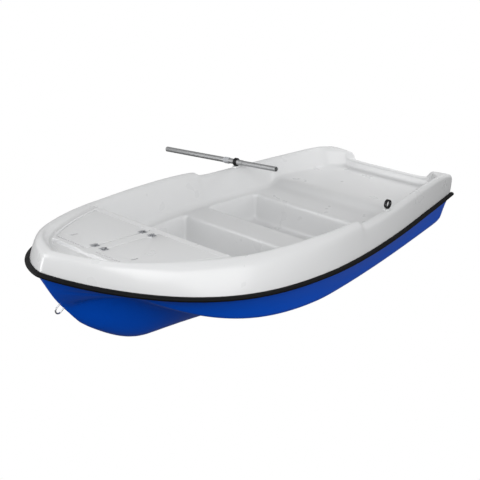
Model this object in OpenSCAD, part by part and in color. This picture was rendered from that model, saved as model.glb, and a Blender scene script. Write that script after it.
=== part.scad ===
// Rowing dinghy of glass fibre with three keels, a moulded deck and one oar in its lock.
// +X points to the bow, +Y to port and +Z up. The origin is on the underside of the keel, amidships.

/* [Hull] */
// Half beam at the outside of the hull, where the rubber rail sits
half_beam = 737; // [710:1:765]
// Half breadth at the transom
half_stern = 500; // [480:2:520]
// Place of the widest section
beam_x = 148; // [80:4:200]
// Place of the hull's foremost point
bow_x = 1520; // [1500:5:1540]
// Place of the transom's foot
stern_x = -1410; // [-1440:5:-1390]
// Height of the joint of hull and deck at the stern
joint_stern = 289; // [280:1:300]
// Height of the joint of hull and deck at the bow
joint_bow = 534; // [520:2:548]
// Lean of the transom, aft for each unit up
rake = 0.233; // [0.15:0.01:0.25]
// Wall of the hull
hull_wall = 6; // [5:0.5:8]
// Half width of the flat under the middle keel
keel_flat = 35; // [25:1:45]
// Middle of a side keel at the transom
side_keel_stern = 330; // [310:5:345]
// Middle of a side keel at the widest section
side_keel_beam = 420; // [400:5:440]
// Half width of the flat under a side keel
side_keel_flat = 20; // [14:1:26]
// Height of the roof of the tunnels between the keels
tunnel_roof = 85; // [60:5:95]
// Height of the chine
chine_height = 105; // [90:5:120]
// Outward lean of the topsides from chine to joint, at the transom
flare_stern = 36; // [28:1:42]
// Outward lean of the topsides from chine to joint, at the widest section
flare_beam = 95; // [80:1:105]
// Share by which the hull draws in under the joint round the bow
bow_flare = 0.08; // [0.04:0.01:0.1]

/* [Deck] */
// Wall of the deck moulding
deck_wall = 5; // [4:0.5:6]
// Height of the rim amidships
rim_height = 513; // [500:1:525]
// Rise of the rim along the boat
rim_slope = 0.042; // [0.03:0.001:0.055]
// Extra rise of the rim at the bow
rim_bow_rise = 62; // [50:2:76]
// Step down of the rim aft of the middle seat, which fades out towards the stern
rim_dip = 42; // [30:1:50]
// Width of the rim's top
rim_width = 40; // [38:1:46]
// Inward slope of the cockpit's side, from rim to ledge
side_slope = 65; // [50:1:75]
// Width of the ledge beside the footwells
ledge_width = 45; // [36:1:55]
// Height of the seats
seat_height = 290; // [280:2:305]
// Height of the footwells' floor
floor_height = 105; // [100:1:120]
// Rise of the front footwell's floor towards the bow
floor_rise = 92; // [85:1:100]
// Where the front footwell's floor starts to rise
floor_rise_x = 360; // [340:5:380]
// Slope of a footwell's wall, from seat to floor
well_slope = 25; // [18:1:30]
// Front edge of the aft seat
aft_seat_x = -591; // [-610:1:-575]
// Aft edge of the middle seat
mid_seat_aft = -186; // [-200:1:-170]
// Front edge of the middle seat
mid_seat_front = 19; // [5:1:30]
// Aft edge of the foredeck
foredeck_x = 730; // [715:1:740]
// Height of the foredeck at its aft edge
foredeck_height = 534; // [526:1:538]
// Rise of the foredeck along the boat
foredeck_slope = 0.066; // [0.04:0.002:0.07]
// Crest of the aft deck
crest_x = -830; // [-850:2:-820]
// Height of the aft deck's crest
crest_height = 348; // [338:1:356]
// Height of the motor well's floor at the transom
well_height = 310; // [306:1:318]
// Height of the cut-out in the transom
cutout_height = 365; // [355:1:375]
// Thickness of the transom at its top
transom_top = 48; // [46:1:60]
// Width of the flat corners at the stern, past the rim
knee_width = 130; // [110:2:140]
// Length of the flat corners at the stern
knee_length = 150; // [140:2:180]

/* [Rail] */
// Height of the rubber rail
rail_height = 24; // [20:1:30]
// How far the rail stands out
rail_out = 24; // [20:1:30]

/* [Hatches] */
// Thickness of a lid
lid_thick = 12; // [10:0.5:14]
// Half width of the spine between the lids
spine_half = 32; // [30:1:36]
// Front edge of the lids
lid_front = 1200; // [1190:1:1208]
// Width of the foredeck's border in front of the lids and behind them
border = 40; // [36:1:44]
// Width of the shelf under the lids' outer edge
shelf_width = 36; // [30:1:44]
// Height of the bow locker's floor at its aft end
locker_floor = 290; // [280:5:330]
// Rise of the bow locker's floor along the boat
locker_slope = 0.3; // [0.28:0.01:0.36]
// Place of the aft hinges
hinge_aft_x = 824; // [815:1:850]
// Place of the front hinges
hinge_front_x = 1150; // [1120:1:1160]
// Length of a hinge
hinge_length = 36; // [32:1:44]
// Radius of a hinge's knuckle
knuckle_r = 4; // [3.5:0.1:4.5]
// Radius of a hinge pin
hinge_pin_r = 2; // [1.6:0.1:2.4]

/* [Oar] */
// Place of the oarlocks along the boat
lock_x = -543; // [-580:1:-500]
// Radius of an oarlock's opening
ring_r = 22; // [21.5:0.5:25]
// Wall of an oarlock's ring
ring_wall = 5; // [4.5:0.5:7]
// Width of an oarlock's ring
ring_width = 18; // [14:1:22]
// Radius of an oarlock's pin
lock_pin_r = 6.5; // [6:0.1:7]
// Length of an oarlock's pin
lock_pin_length = 55; // [45:1:60]
// Radius of the oar's outer tube
oar_r = 18; // [17:0.2:18.6]
// Wall of the oar's tubes
oar_wall = 1.5; // [1.2:0.1:2]
// Length of the oar outboard of its lock
oar_out = 685; // [600:5:720]
// Length of the oar inboard of its lock
oar_in = 358; // [320:2:380]
// Depth of the widened end of the outer tube, where a blade goes in
blade_socket = 120; // [90:5:140]
// Droop of the oar's outer end, in degrees
oar_droop = 4; // [2:0.5:6]

/* [Fittings] */
// Radius of the bow eye's rod
eye_rod_r = 4; // [3.5:0.1:4.5]
// Half distance between the bow eye's legs
eye_half = 19; // [17:0.5:21]
// Height of the bow eye's middle
eye_height = 321; // [310:1:330]
// Width of the clamp pad on the transom
pad_width = 280; // [240:5:300]
// Thickness of the clamp pad
pad_thick = 8; // [6:0.5:10]
// Radius of the drain's flange
drain_r = 20; // [18:0.5:22]
// Radius of the drain's hole
drain_hole_r = 11; // [10:0.2:12]
// Height of the drain
drain_height = 44; // [42:1:48]

/* [Clearances] */
// Gap of a fixed joint
joint_gap = 0.3; // [0.2:0.05:0.4]
// Radial gap of a running fit
run_gap = 0.06; // [0.04:0.01:0.09]
// Gap round a lid
lid_gap = 4; // [3:0.5:6]

/* [Hidden] */
$fn = 48;

blue = "#0a3aa8";
white = "#e9ebec";
black = "#17181a";
steel = "#b9bdc2";
alloy = "#9fa4a9";

// Stations are square to the boat up to fan_x, and from there fan out round the bow from a short hub.
fan_x = 1225;
hub_length = 50;
fan_steps = 9;
wall_step = 14;
shelf_step = 2;
cove = 49;
spine_drop = fan_x - 12;
rake_reach = 400;
quarter_drop = 36;
quarter_length = 200;
transom_foot = transom_top + 12;
cockpit = foredeck_x - well_slope;
locker_aft = foredeck_x + border;
locker_front = lid_front - border;
function between(a, b, share) = a + (b - a) * share;
square_x = [stern_x, stern_x, stern_x + transom_top, stern_x + transom_foot,
    stern_x + knee_length,
    between(stern_x + transom_foot, crest_x, 0.3), between(stern_x + transom_foot, crest_x, 0.65), crest_x,
    crest_x + cove / 2, crest_x + cove, aft_seat_x, aft_seat_x + well_slope,
    between(aft_seat_x, mid_seat_aft, 0.5),
    mid_seat_aft - well_slope, mid_seat_aft, between(mid_seat_aft, mid_seat_front, 0.5), mid_seat_front,
    mid_seat_front + well_slope, between(mid_seat_front + well_slope, floor_rise_x, 0.5), floor_rise_x,
    between(floor_rise_x, cockpit, 0.5), cockpit, foredeck_x, locker_aft,
    locker_aft + shelf_step, locker_aft + shelf_step + wall_step,
    between(locker_aft, locker_front, 0.3), between(locker_aft, locker_front, 0.6),
    between(locker_aft, locker_front, 0.82), locker_front, locker_front + wall_step, spine_drop, fan_x];
square_last = len(square_x) - 1;
last = square_last + fan_steps;

// Shape of the plan and the sheer
function half_breadth(x) = x >= bow_x ? 0
    : x > beam_x ? half_beam * pow(1 - pow((x - beam_x) / (bow_x - beam_x), 2.9), 1 / 1.4)
    : half_beam - (half_beam - half_stern) * pow((beam_x - x) / (beam_x - stern_x), 1.5);
function joint_z(x) = joint_stern + (joint_bow - joint_stern) * pow((x - stern_x) / (bow_x - stern_x), 3.6);
bow_rise_x = 600;
dip_end = stern_x + 280;
function dip_share(x) = max(0, min(1, (mid_seat_aft - x) / well_slope,
    (x - dip_end) / (mid_seat_aft - dip_end)));
function rim_z(x) = rim_height + rim_slope * x - rim_dip * dip_share(x)
    + rim_bow_rise * pow(max(0, x - bow_rise_x) / (bow_x - bow_rise_x), 1.2)
    - quarter_drop * pow(max(0, 1 - (x - stern_x) / quarter_length), 2);
// How far the rim leans in from the sheer, at places along the boat
rim_leans = [[stern_x, 6], [-543, 31], [0, 42], [700, 85], [1080, 95], [bow_x, 50]];
function rim_lean(x) = lookup(x, rim_leans);
function lid_z(x) = foredeck_height + foredeck_slope * (x - foredeck_x);
function shelf_z(x) = lid_z(x) - lid_thick * sqrt(1 + pow(foredeck_slope, 2)) - 2 * joint_gap;

// Where each station meets the sheer and the middle line
function sheer_x(i) = i <= square_last ? square_x[i]
    : fan_x + (bow_x - fan_x) * sin(90 * (i - square_last) / fan_steps);
function hub_x(i) = i <= square_last ? square_x[i] : fan_x + hub_length * (i - square_last) / fan_steps;
function raked(p) = [p.x - rake * p.z * max(0, min(1, 1 - (p.x - stern_x) / rake_reach)), p.y, p.z];
// A point on station i, at a share of the way from the middle line to the sheer
function on_station(i, share, z) =
    raked([hub_x(i) + (sheer_x(i) - hub_x(i)) * share, half_breadth(sheer_x(i)) * share, z]);
function station_length(i) = norm([sheer_x(i) - hub_x(i), half_breadth(sheer_x(i))]);

// Half sections of the hull, from the middle keel to the sheer
stem_x = 950;
stem_rise = 168;
function keel_z(x) = stem_rise * pow(max(0, x - stem_x) / (fan_x + hub_length - stem_x), 1.65);
function stem_share(w) = 0.8 * pow(w, 1.15) + 0.2 * pow(w, 6);
function rise(x, from, to, power) = pow(max(0, min(1, (x - from) / (to - from))), power);
// Where the side keels, the tunnels' roof and the chine start to rise to the bow,
// and how far below the joint they end
side_keel_rise = [-160, 60];
roof_rise = [450, 40];
chine_rise = [20, 24];
function side_keel_z(x) = (joint_z(x) - side_keel_rise[1])
    * rise(x, side_keel_rise[0], fan_x, 1.25);
function roof_z(x) = tunnel_roof + (joint_z(x) - roof_rise[1] - tunnel_roof)
    * rise(x, roof_rise[0], fan_x, 1.6);
function chine_z(x) = chine_height + (joint_z(x) - chine_rise[1] - chine_height)
    * rise(x, chine_rise[0], fan_x, 1.65);
function side_keel_y(x) = let (b = half_breadth(x))
    x > beam_x ? b * side_keel_beam / half_beam
    : side_keel_stern + (side_keel_beam - side_keel_stern) * (b - half_stern) / (half_beam - half_stern);
function flare(x) = let (b = half_breadth(x))
    x > beam_x ? b * flare_beam / half_beam
    : flare_stern + (flare_beam - flare_stern) * (b - half_stern) / (half_beam - half_stern);
// How round the middle keel is: a vee aft, and fuller towards the bow
fullness = [200, 1050];
function section(i) = let (x = sheer_x(i), b = half_breadth(x), k = side_keel_y(x), zk = keel_z(x),
        full = rise(x, fullness[0], fullness[1], 1),
        zs = side_keel_z(x), zr = max(zk + 30, roof_z(x)), zc = chine_z(x), zj = joint_z(x), c = b - flare(x))
    [[0, zk], [keel_flat, zk], [0.3 * k, zk + (0.15 - 0.1 * full) * (zr - zk)],
     [0.5 * k, zk + (0.52 - 0.2 * full) * (zr - zk)], [0.72 * k, zk + 0.94 * (zr - zk)],
     [k - side_keel_flat - 22, zs + 0.25 * max(0, zr - zs)],
     [k - side_keel_flat, zs], [k + side_keel_flat, zs],
     [(k + c) / 2 + 10, zs + 0.42 * (zc - zs)], [c - 10, zc - 8], [c + 6, zc + 16],
     [c + 0.35 * flare(x), zc + 0.45 * (zj - zc)], [b, zj]];
stem_shares = [0, 0.1, 0.2, 0.3, 0.4, 0.5, 0.6, 0.7, 0.78, 0.85, 0.91, 0.96, 1];
hull_last = len(stem_shares) - 1;
function hull_point(i, j) = i <= square_last
    ? let (s = section(i)[j]) raked([square_x[i], s.x, s.y])
    : let (t = (i - square_last) / fan_steps, f = section(square_last)[j], zk = keel_z(hub_x(i)),
           zj = joint_z(sheer_x(i)), z0 = keel_z(fan_x), u = (f.y - z0) / (joint_z(fan_x) - z0),
           share = ((1 - t) * f.x / half_breadth(fan_x) + t * stem_shares[j])
               * (j < hull_last ? 1 - bow_flare * sin(180 * t) : 1))
      on_station(i, share, zk + (zj - zk) * ((1 - t) * u + t * stem_share(share)));
// The first two stations coincide for the deck's aft face, so the hull takes only the second of them
hull_grid = [for (i = [1:last]) [for (j = [0:hull_last]) hull_point(i, j)]];

// Half sections of the deck, from the middle line to the sheer
edge_drop = 6;
gutter_slope = 56;
// Share of a flat corner at the stern
function knee(x) = max(0, 1 - (x - stern_x) / knee_length);
function middle_z(i) = let (x = hub_x(i))
    i == 0 ? joint_stern
    : i <= 2 ? cutout_height
    : x <= crest_x ? well_height + (crest_height - well_height)
        * (x - stern_x - transom_foot) / (crest_x - stern_x - transom_foot)
    : x < crest_x + cove ? (crest_height + seat_height) / 2
    : x <= aft_seat_x ? seat_height
    : x <= mid_seat_aft - well_slope ? floor_height
    : x <= mid_seat_front ? seat_height
    : x <= cockpit ? floor_height + floor_rise * rise(x, floor_rise_x, cockpit, 1)
    : lid_z(x);
function past_edge(i) = hub_x(i) > locker_aft + shelf_step / 2;
function in_locker(i) = hub_x(i) > locker_aft + shelf_step + wall_step / 2
    && hub_x(i) < locker_front + wall_step / 2;
function deck_point(i, j) = let (x = sheer_x(i), len = station_length(i), z0 = joint_z(x), z1 = rim_z(x),
        lean = rim_lean(x), fore = hub_x(i) >= foredeck_x, inner = lean + rim_width + knee_width * knee(x),
        foot = inner + (fore ? gutter_slope : side_slope * (1 - 0.5 * knee(x))),
        well = foot + (fore ? shelf_width : ledge_width),
        spine = i < square_last && past_edge(i), flat = middle_z(i),
        low = in_locker(i) ? locker_floor + locker_slope * (x - foredeck_x)
            : past_edge(i) ? shelf_z(x) : flat,
        mid = past_edge(i) && !spine ? shelf_z(x) : flat,
        ledge = fore ? (past_edge(i) ? shelf_z(x) : flat) : hub_x(i) < crest_x + cove ? flat : seat_height,
        down = i == 0, side_step = past_edge(i) && !in_locker(i) ? shelf_step : wall_step,
        d = [len, len - spine_half, len - spine_half - side_step, well + well_slope, well, foot, inner,
             lean + rim_width / 2, lean, 0.6 * lean, 0.2 * lean, 0][j],
        fan_d = j <= 4 ? foot + (len - foot) * (1 - 0.2 * j) : d,
        z = [mid, mid, low, low, ledge, ledge, z1 - edge_drop, z1, z1 - edge_drop,
             z0 + 0.8 * (z1 - z0), z0 + 0.35 * (z1 - z0), z0][j])
    on_station(i, 1 - (i > square_last ? fan_d : d) / len, (down ? joint_stern : z) + joint_gap);
deck_last = 11;
deck_grid = [for (i = [0:last]) [for (j = [0:deck_last]) deck_point(i, j)]];

// Skin: a closed shell on one half grid and its mirror image. The last station lies on the middle line.
function unit(v) = norm(v) < 0.000001 ? [0, 0, 0] : v / norm(v);
function other_side(p) = [p.x, -p.y, p.z];
function grid_at(g, i, j) = j >= 0 ? g[i][j] : other_side(g[i][-j]);
function along(g, i, j) = let (n = len(g) - 1)
    i == n ? [0, -1, 0]
    : unit(grid_at(g, i + 1, j) - grid_at(g, i, j))
        + (i > 0 ? unit(grid_at(g, i, j) - grid_at(g, i - 1, j)) : [0, 0, 0]);
function across(g, i, j) = let (n = len(g) - 1, m = len(g[0]) - 1)
    (j < m ? unit(grid_at(g, i, j + 1) - grid_at(g, i, j)) : [0, 0, 0])
        + (j > 0 || i < n ? unit(grid_at(g, i, j) - grid_at(g, i, j - 1)) : [0, 0, 0]);
function skin_normal(g, i, j) = let (n = cross(along(g, i, j), across(g, i, j)), m = len(g[0]) - 1)
    unit(j == m ? [n.x, n.y, 0] : n);
function inside_grid(g, t) = [for (i = [0:len(g) - 1]) [for (j = [0:len(g[0]) - 1])
    let (p = g[i][j] + t * skin_normal(g, i, j)) [p.x, j == 0 || i == len(g) - 1 ? 0 : p.y, p.z]]];
function shell_points(g) = let (m = len(g[0]) - 1)
    [for (i = [0:len(g) - 1]) for (j = [-m:m]) grid_at(g, i, j)];
function shell_faces(g, corner) = let (n = len(g) - 1, m = len(g[0]) - 1, w = 2 * m + 1, all = w * (n + 1),
        id = function (s, i, j) let (a = i == n ? abs(j) : j, r = corner && i == 0 && abs(j) == m ? 1 : i)
            s * all + r * w + a + m)
    [for (f = concat(
        [for (s = [0, 1]) for (i = [0:n - 1]) for (j = [-m:m - 1])
            let (a = id(s, i, j), b = id(s, i, j + 1), c = id(s, i + 1, j + 1), d = id(s, i + 1, j),
                 two = j >= 0 ? [[a, b, c], [a, c, d]] : [[a, b, d], [b, c, d]],
                 on_middle = i == n - 1 && (j == 0 || j == -1))
            for (t = on_middle ? [two[0]] : two) s == 0 ? t : [t[2], t[1], t[0]]],
        [for (i = [0:n - 1])
            let (a = id(0, i + 1, m), b = id(0, i, m), c = id(1, i, m), d = id(1, i + 1, m))
            for (t = [[a, b, c], [a, c, d]]) t],
        [for (i = [0:n - 1])
            let (a = id(0, i, -m), b = id(0, i + 1, -m), c = id(1, i + 1, -m), d = id(1, i, -m))
            for (t = [[a, b, c], [a, c, d]]) t],
        [for (j = [-m:m - 1])
            let (a = id(0, 0, j + 1), b = id(0, 0, j), c = id(1, 0, j), d = id(1, 0, j + 1))
            for (t = [[a, b, c], [a, c, d]]) t]))
        if (f[0] != f[1] && f[1] != f[2] && f[0] != f[2]) f];
// The wall lies above the grid where t is positive, and below it where t is negative.
module skin(g, t, corner) {
    faces = shell_faces(g, corner);
    points = concat(shell_points(g), shell_points(inside_grid(g, t)));
    polyhedron(points, t < 0 ? faces : [for (f = faces) [f[2], f[1], f[0]]]);
}

// Places that several pieces share
stem_slope = 38;
stem_foot = keel_z(fan_x + hub_length);
eye_x = lookup(eye_height, [for (w = stem_shares)
    [stem_foot + (joint_bow - stem_foot) * stem_share(w), between(fan_x + hub_length, bow_x, w)]]);
function rim_y(x) = half_breadth(x) - rim_lean(x) - rim_width / 2;
lock_y = rim_y(lock_x);
lock_base = rim_z(lock_x) + 2 * joint_gap;
flange_thick = 4;
flange_half = 28;
rim_turn = atan((rim_y(lock_x + flange_half) - rim_y(lock_x - flange_half)) / (2 * flange_half));
lock_slope = (rim_z(lock_x + flange_half) - rim_z(lock_x - flange_half)) / (2 * flange_half);
socket_r = 10;
ring_z = lock_base + flange_thick + 1 + ring_r + ring_wall;
ball_r = ring_r - joint_gap;
tilt = atan(foredeck_slope);
lid_aft = locker_aft + lid_gap;
axis_y = spine_half + knuckle_r;
axis_up = knuckle_r;
rake_angle = atan(rake);

module at_eye() { translate([eye_x, 0, eye_height]) rotate([0, 90 + stem_slope, 0]) children(); }
module at_lid() { translate([foredeck_x, 0, foredeck_height]) rotate([0, -tilt, 0]) children(); }
module at_lock(side) { translate([lock_x, side * lock_y, 0]) children(); }
// Over a lock's place on the rim, with x along the rim
module at_rim(side) { at_lock(side) translate([0, 0, lock_base]) rotate([0, 0, side * rim_turn]) children(); }
module at_oar() { translate([lock_x, -lock_y, ring_z]) rotate([90 + oar_droop, 0, 0]) children(); }
// Flat on the transom's outer face, x across the boat, y up the slope and z aft
module at_transom(z) {
    translate([stern_x - rake * z, 0, z]) rotate([0, -90 - rake_angle, 0]) rotate([0, 0, -90]) children();
}
module mirrored(side) { if (side < 0) { mirror([0, 1, 0]) children(); } else { children(); } }

// Hull and transom
module eye_holes() {
    at_eye() for (u = [-eye_half, eye_half]) translate([u, 0, -eye_in])
        cylinder(r = eye_rod_r + joint_gap, h = 2 * eye_in);
}
module hull_shell() { color(blue) difference() { skin(hull_grid, hull_wall, false); eye_holes(); } }

panel_thick = 8;
function panel_outline() = let (slant = 1 / cos(rake_angle),
        edge = [for (p = inside_grid(hull_grid, hull_wall + 2 * joint_gap)[0])
            [p.y, min(p.z, joint_stern - joint_gap) * slant]])
    concat(edge, [for (j = [hull_last:-1:1]) [-edge[j].x, edge[j].y]]);
module transom_panel() {
    color(blue) difference() {
        at_transom(0) translate([0, 0, -panel_thick]) linear_extrude(panel_thick) polygon(panel_outline());
        at_transom(drain_height) translate([0, 0, -panel_thick - 1])
            cylinder(r = drain_hole_r + joint_gap, h = panel_thick + 2);
    }
}
core_thick = 30;
core_low = 120;
core_half = 300;
core_height = (cutout_height - deck_wall - 3 - core_low) / cos(rake_angle)
    - (panel_thick + joint_gap + core_thick) * tan(rake_angle);
module transom_core() {
    color("#b98c57") at_transom(core_low) translate([-core_half, 0, -panel_thick - joint_gap - core_thick])
        cube([2 * core_half, core_height, core_thick]);
}

// Deck: one skin, cut across the seats and the foredeck, and along the middle of the bow and of the wells
deck_cuts = [stern_x - 400, between(crest_x + cove, aft_seat_x, 0.5),
    between(mid_seat_aft, mid_seat_front, 0.5), between(foredeck_x, locker_aft, 0.5), bow_x + 200];
cross_slits = [[], [], [floor_rise_x], []];
middle_slits = [false, true, true, false];
module deck_section(k, from_y, to_y) {
    color(white) difference() {
        intersection() {
            skin(deck_grid, -deck_wall, true);
            translate([deck_cuts[k] + joint_gap / 2, from_y, 0])
                cube([deck_cuts[k + 1] - deck_cuts[k] - joint_gap, to_y - from_y, 2 * rim_height]);
        }
        for (side = [-1, 1]) at_lock(side) translate([0, 0, lock_base - 40])
            cylinder(r = socket_r + 1, h = 80);
        for (x = cross_slits[k]) translate([x, 0, rim_height])
            cube([joint_gap, 4 * half_beam, 4 * rim_height], center = true);
        if (middle_slits[k]) cube([4 * bow_x, joint_gap, 4 * rim_height], center = true);
    }
}
module deck_stern() { deck_section(0, -2 * half_beam, 2 * half_beam); }
module deck_aft_well() { deck_section(1, -2 * half_beam, 2 * half_beam); }
module deck_front_well() { deck_section(2, -2 * half_beam, 2 * half_beam); }
module deck_bow_port() { deck_section(3, joint_gap / 2, 2 * half_beam); }
module deck_bow_starboard() { deck_section(3, -2 * half_beam, -joint_gap / 2); }

// Rubber rail: a D section carried along the sheer
rail_sides = 8;
function sheer_point(i) = [sheer_x(i), half_breadth(sheer_x(i))];
function rail_normal(i) = i == last ? [1, 0]
    : let (d = sheer_point(i + 1) - sheer_point(max(i - 1, 1))) [-d.y, d.x] / norm(d);
function rail_ring(i) = let (x = sheer_x(i), n = rail_normal(i), p = raked([x, half_breadth(x), joint_z(x)]))
    [for (k = [0:rail_sides - 1]) let (a = -90 + 180 * k / (rail_sides - 1), o = joint_gap + (k == 0
        || k == rail_sides - 1 ? 0 : rail_out * pow(cos(a), 0.6)), h = rail_height / 2 * sin(a))
        [p.x + n.x * o, p.y + n.y * o, p.z + h]];
rail_rings = concat([for (i = [1:last]) rail_ring(i)],
    [for (i = [last - 1:-1:1]) [for (p = rail_ring(i)) other_side(p)]]);
module rub_rail() {
    n = len(rail_rings) - 1;
    faces = concat([[for (k = [rail_sides - 1:-1:0]) k]], [[for (k = [0:rail_sides - 1]) n * rail_sides + k]],
        [for (i = [0:n - 1]) for (k = [0:rail_sides - 1]) let (a = i * rail_sides + k,
            b = i * rail_sides + (k + 1) % rail_sides, c = b + rail_sides, d = a + rail_sides)
            for (t = [[a, b, c], [a, c, d]]) t]);
    color(black) polyhedron([for (r = rail_rings) for (p = r) p], faces);
}
cap_length = 26;
module rub_rail_end_caps() {
    n = rail_normal(1);
    end = raked([stern_x, half_stern, joint_stern]);
    color(black) for (side = [-1, 1]) mirrored(side)
        translate(end + joint_gap * [n.x, n.y, 0]) rotate([0, 0, atan2(-n.x, n.y)]) rotate([0, -90, 0])
        translate([0, 0, joint_gap]) intersection() {
            cylinder(r = rail_out, h = cap_length);
            translate([-rail_height / 2, 0, 0]) cube([rail_height, rail_out, cap_length]);
        }
}

// Hatch lids
function lid_edge(x) = half_breadth(x) - rim_lean(x) - rim_width - gutter_slope - lid_gap;
lid_steps = 10;
slot_r = 9;
slot_half = 14;
slot_inset = 48;
slot_back = 75;
lid_inner = spine_half + 2 * knuckle_r;
function lid_outline() = concat([[lid_aft, lid_inner], [lid_front, lid_inner]],
    [for (k = [lid_steps:-1:0]) let (x = lid_aft + (lid_front - lid_aft) * k / lid_steps) [x, lid_edge(x)]]);
module lid(side) {
    mirrored(side) at_lid() difference() {
        translate([0, 0, -lid_thick]) linear_extrude(lid_thick)
            polygon([for (p = lid_outline()) [(p.x - foredeck_x) / cos(tilt), p.y]]);
        translate([lid_front - foredeck_x - slot_back, lid_edge(lid_front) - slot_inset, -lid_thick - 1]) {
            for (k = [-1, 1]) translate([k * slot_half, 0, 0]) cylinder(r = slot_r, h = lid_thick + 2);
            translate([-slot_half, -slot_r, 0]) cube([2 * slot_half, 2 * slot_r, lid_thick + 2]);
        }
    }
}
module lid_port() { color(white) lid(1); }
module lid_starboard() { color(white) lid(-1); }

// Butt hinges: the fixed leaf has the two outer knuckles, the moving leaf the middle one
leaf_thick = 2;
leaf_width = 16;
screw_off = knuckle_r + leaf_width / 2;
knuckle_share = 3;
knuckle = hinge_length / knuckle_share;
function hinge_places() = [for (x = [hinge_aft_x, hinge_front_x]) (x - foredeck_x) / cos(tilt)];
module hinge_axis(x) { translate([x, axis_y, axis_up]) rotate([0, 90, 0]) children(); }
module knuckles(list) {
    for (k = list) translate([0, 0, (k - 1) * knuckle - knuckle / 2 + joint_gap])
        cylinder(r = knuckle_r - joint_gap / 2, h = knuckle - 2 * joint_gap);
}
module hinge_leaf(x, fixed) {
    list = fixed ? [0, 2] : [1];
    dir = fixed ? -1 : 1;
    difference() {
        union() {
            hinge_axis(x) knuckles(list);
            for (k = list) translate([x + (k - 1) * knuckle - knuckle / 2 + joint_gap, axis_y, joint_gap])
                mirrored(dir) cube([knuckle - 2 * joint_gap, knuckle_r + 1, leaf_thick]);
            translate([x - hinge_length / 2, axis_y, joint_gap]) mirrored(dir)
                translate([0, knuckle_r + 0.5, 0]) cube([hinge_length, leaf_width, leaf_thick]);
        }
        hinge_axis(x) translate([0, 0, -hinge_length])
            cylinder(r = hinge_pin_r + run_gap, h = 2 * hinge_length);
        for (k = [-1, 1]) translate([x + k * hinge_length / 3, axis_y + dir * screw_off, -1])
            cylinder(r = screw_r + joint_gap, h = 10);
    }
}
screw_r = 2;
screw_head_r = 4;
screw_head = 1.6;
module hinge_screws(dir) {
    for (x = hinge_places()) for (k = [-1, 1])
        translate([x + k * hinge_length / 3, axis_y + dir * screw_off, joint_gap]) {
            cylinder(r = screw_r, h = leaf_thick);
            translate([0, 0, leaf_thick]) cylinder(r = screw_head_r, h = screw_head);
        }
}
module hinge_leaves_fixed() {
    color(steel) for (side = [-1, 1]) mirrored(side) at_lid() for (x = hinge_places()) hinge_leaf(x, true);
}
module hinge_leaves_port() { color(steel) at_lid() for (x = hinge_places()) hinge_leaf(x, false); }
module hinge_leaves_starboard() {
    color(steel) mirrored(-1) at_lid() for (x = hinge_places()) hinge_leaf(x, false);
}
module hinge_pins() {
    color(steel) for (side = [-1, 1]) mirrored(side) at_lid() for (x = hinge_places())
        hinge_axis(x) translate([0, 0, -hinge_length / 2 - 1])
            cylinder(r = hinge_pin_r, h = hinge_length + 2);
}
module hinge_screws_fixed() { color(steel) for (side = [-1, 1]) mirrored(side) at_lid() hinge_screws(-1); }
module hinge_screws_port() { color(steel) at_lid() hinge_screws(1); }
module hinge_screws_starboard() { color(steel) mirrored(-1) at_lid() hinge_screws(1); }

// Bow eye: a bent rod through the stem, with its plate and nuts inside
eye_out = 22;
eye_in = 44;
plate_at = 24;
plate_thick = 4;
nut_r = 7;
nut_height = 6;
module bow_eye() {
    color(steel) at_eye() {
        for (u = [-eye_half, eye_half]) translate([u, 0, -eye_in])
            cylinder(r = eye_rod_r, h = eye_in + eye_out);
        translate([0, 0, eye_out]) rotate([90, 0, 0]) rotate_extrude(angle = 180)
            translate([eye_half, 0]) circle(r = eye_rod_r);
    }
}
module bow_eye_backing_plate() {
    color(steel) at_eye() difference() {
        translate([-eye_half - 10, -8, -plate_at - plate_thick]) cube([2 * eye_half + 20, 16, plate_thick]);
        for (u = [-eye_half, eye_half]) translate([u, 0, -plate_at - 10])
            cylinder(r = eye_rod_r + run_gap, h = 20);
    }
}
module bow_eye_nuts() {
    color(steel) at_eye() for (u = [-eye_half, eye_half])
        translate([u, 0, -plate_at - plate_thick - nut_height]) difference() {
            cylinder(r = nut_r, h = nut_height, $fn = 6);
            translate([0, 0, -1]) cylinder(r = eye_rod_r + run_gap, h = nut_height + 2);
        }
}

// Oarlocks and their sockets: a socket's base saddles the rim's crown
socket_length = lock_pin_length + 6;
flange_across = 18;
flange_screw = 22;
saddle = 2 * flange_across;
saddle_drop = edge_drop * saddle / (rim_width / 2 * cos(rim_turn));
module rim_crown() {
    rotate([0, -atan(lock_slope), 0]) rotate([90, 0, 90]) linear_extrude(4 * flange_half, center = true)
        polygon([[-saddle, -saddle_drop], [0, 0], [saddle, -saddle_drop], [saddle, -saddle],
            [-saddle, -saddle]]);
}
module oarlock_socket(side) {
    difference() {
        union() {
            at_rim(side) difference() {
                intersection() {
                    translate([0, 0, -flange_across])
                        cylinder(r = flange_half, h = flange_across + flange_thick);
                    cube([2 * flange_half, 2 * flange_across, 4 * flange_across], center = true);
                }
                rim_crown();
            }
            at_lock(side) translate([0, 0, lock_base - socket_length + flange_thick])
                cylinder(r = socket_r, h = socket_length);
        }
        at_lock(side) translate([0, 0, lock_base - socket_length + flange_thick + 3])
            cylinder(r = lock_pin_r + run_gap, h = socket_length);
        at_rim(side) for (k = [-1, 1]) translate([k * flange_screw, 0, -flange_thick])
            cylinder(r = screw_r + joint_gap, h = 3 * flange_thick);
    }
}
module oarlock_socket_port() { color(white) oarlock_socket(1); }
module oarlock_socket_starboard() { color(white) oarlock_socket(-1); }
module socket_screws() {
    color(steel) for (side = [-1, 1]) at_rim(side) for (k = [-1, 1])
        translate([k * flange_screw, 0, flange_thick]) {
            translate([0, 0, -flange_thick / 2]) cylinder(r = screw_r, h = flange_thick / 2);
            cylinder(r = screw_head_r, h = screw_head);
        }
}
trunnion_r = 3;
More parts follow.
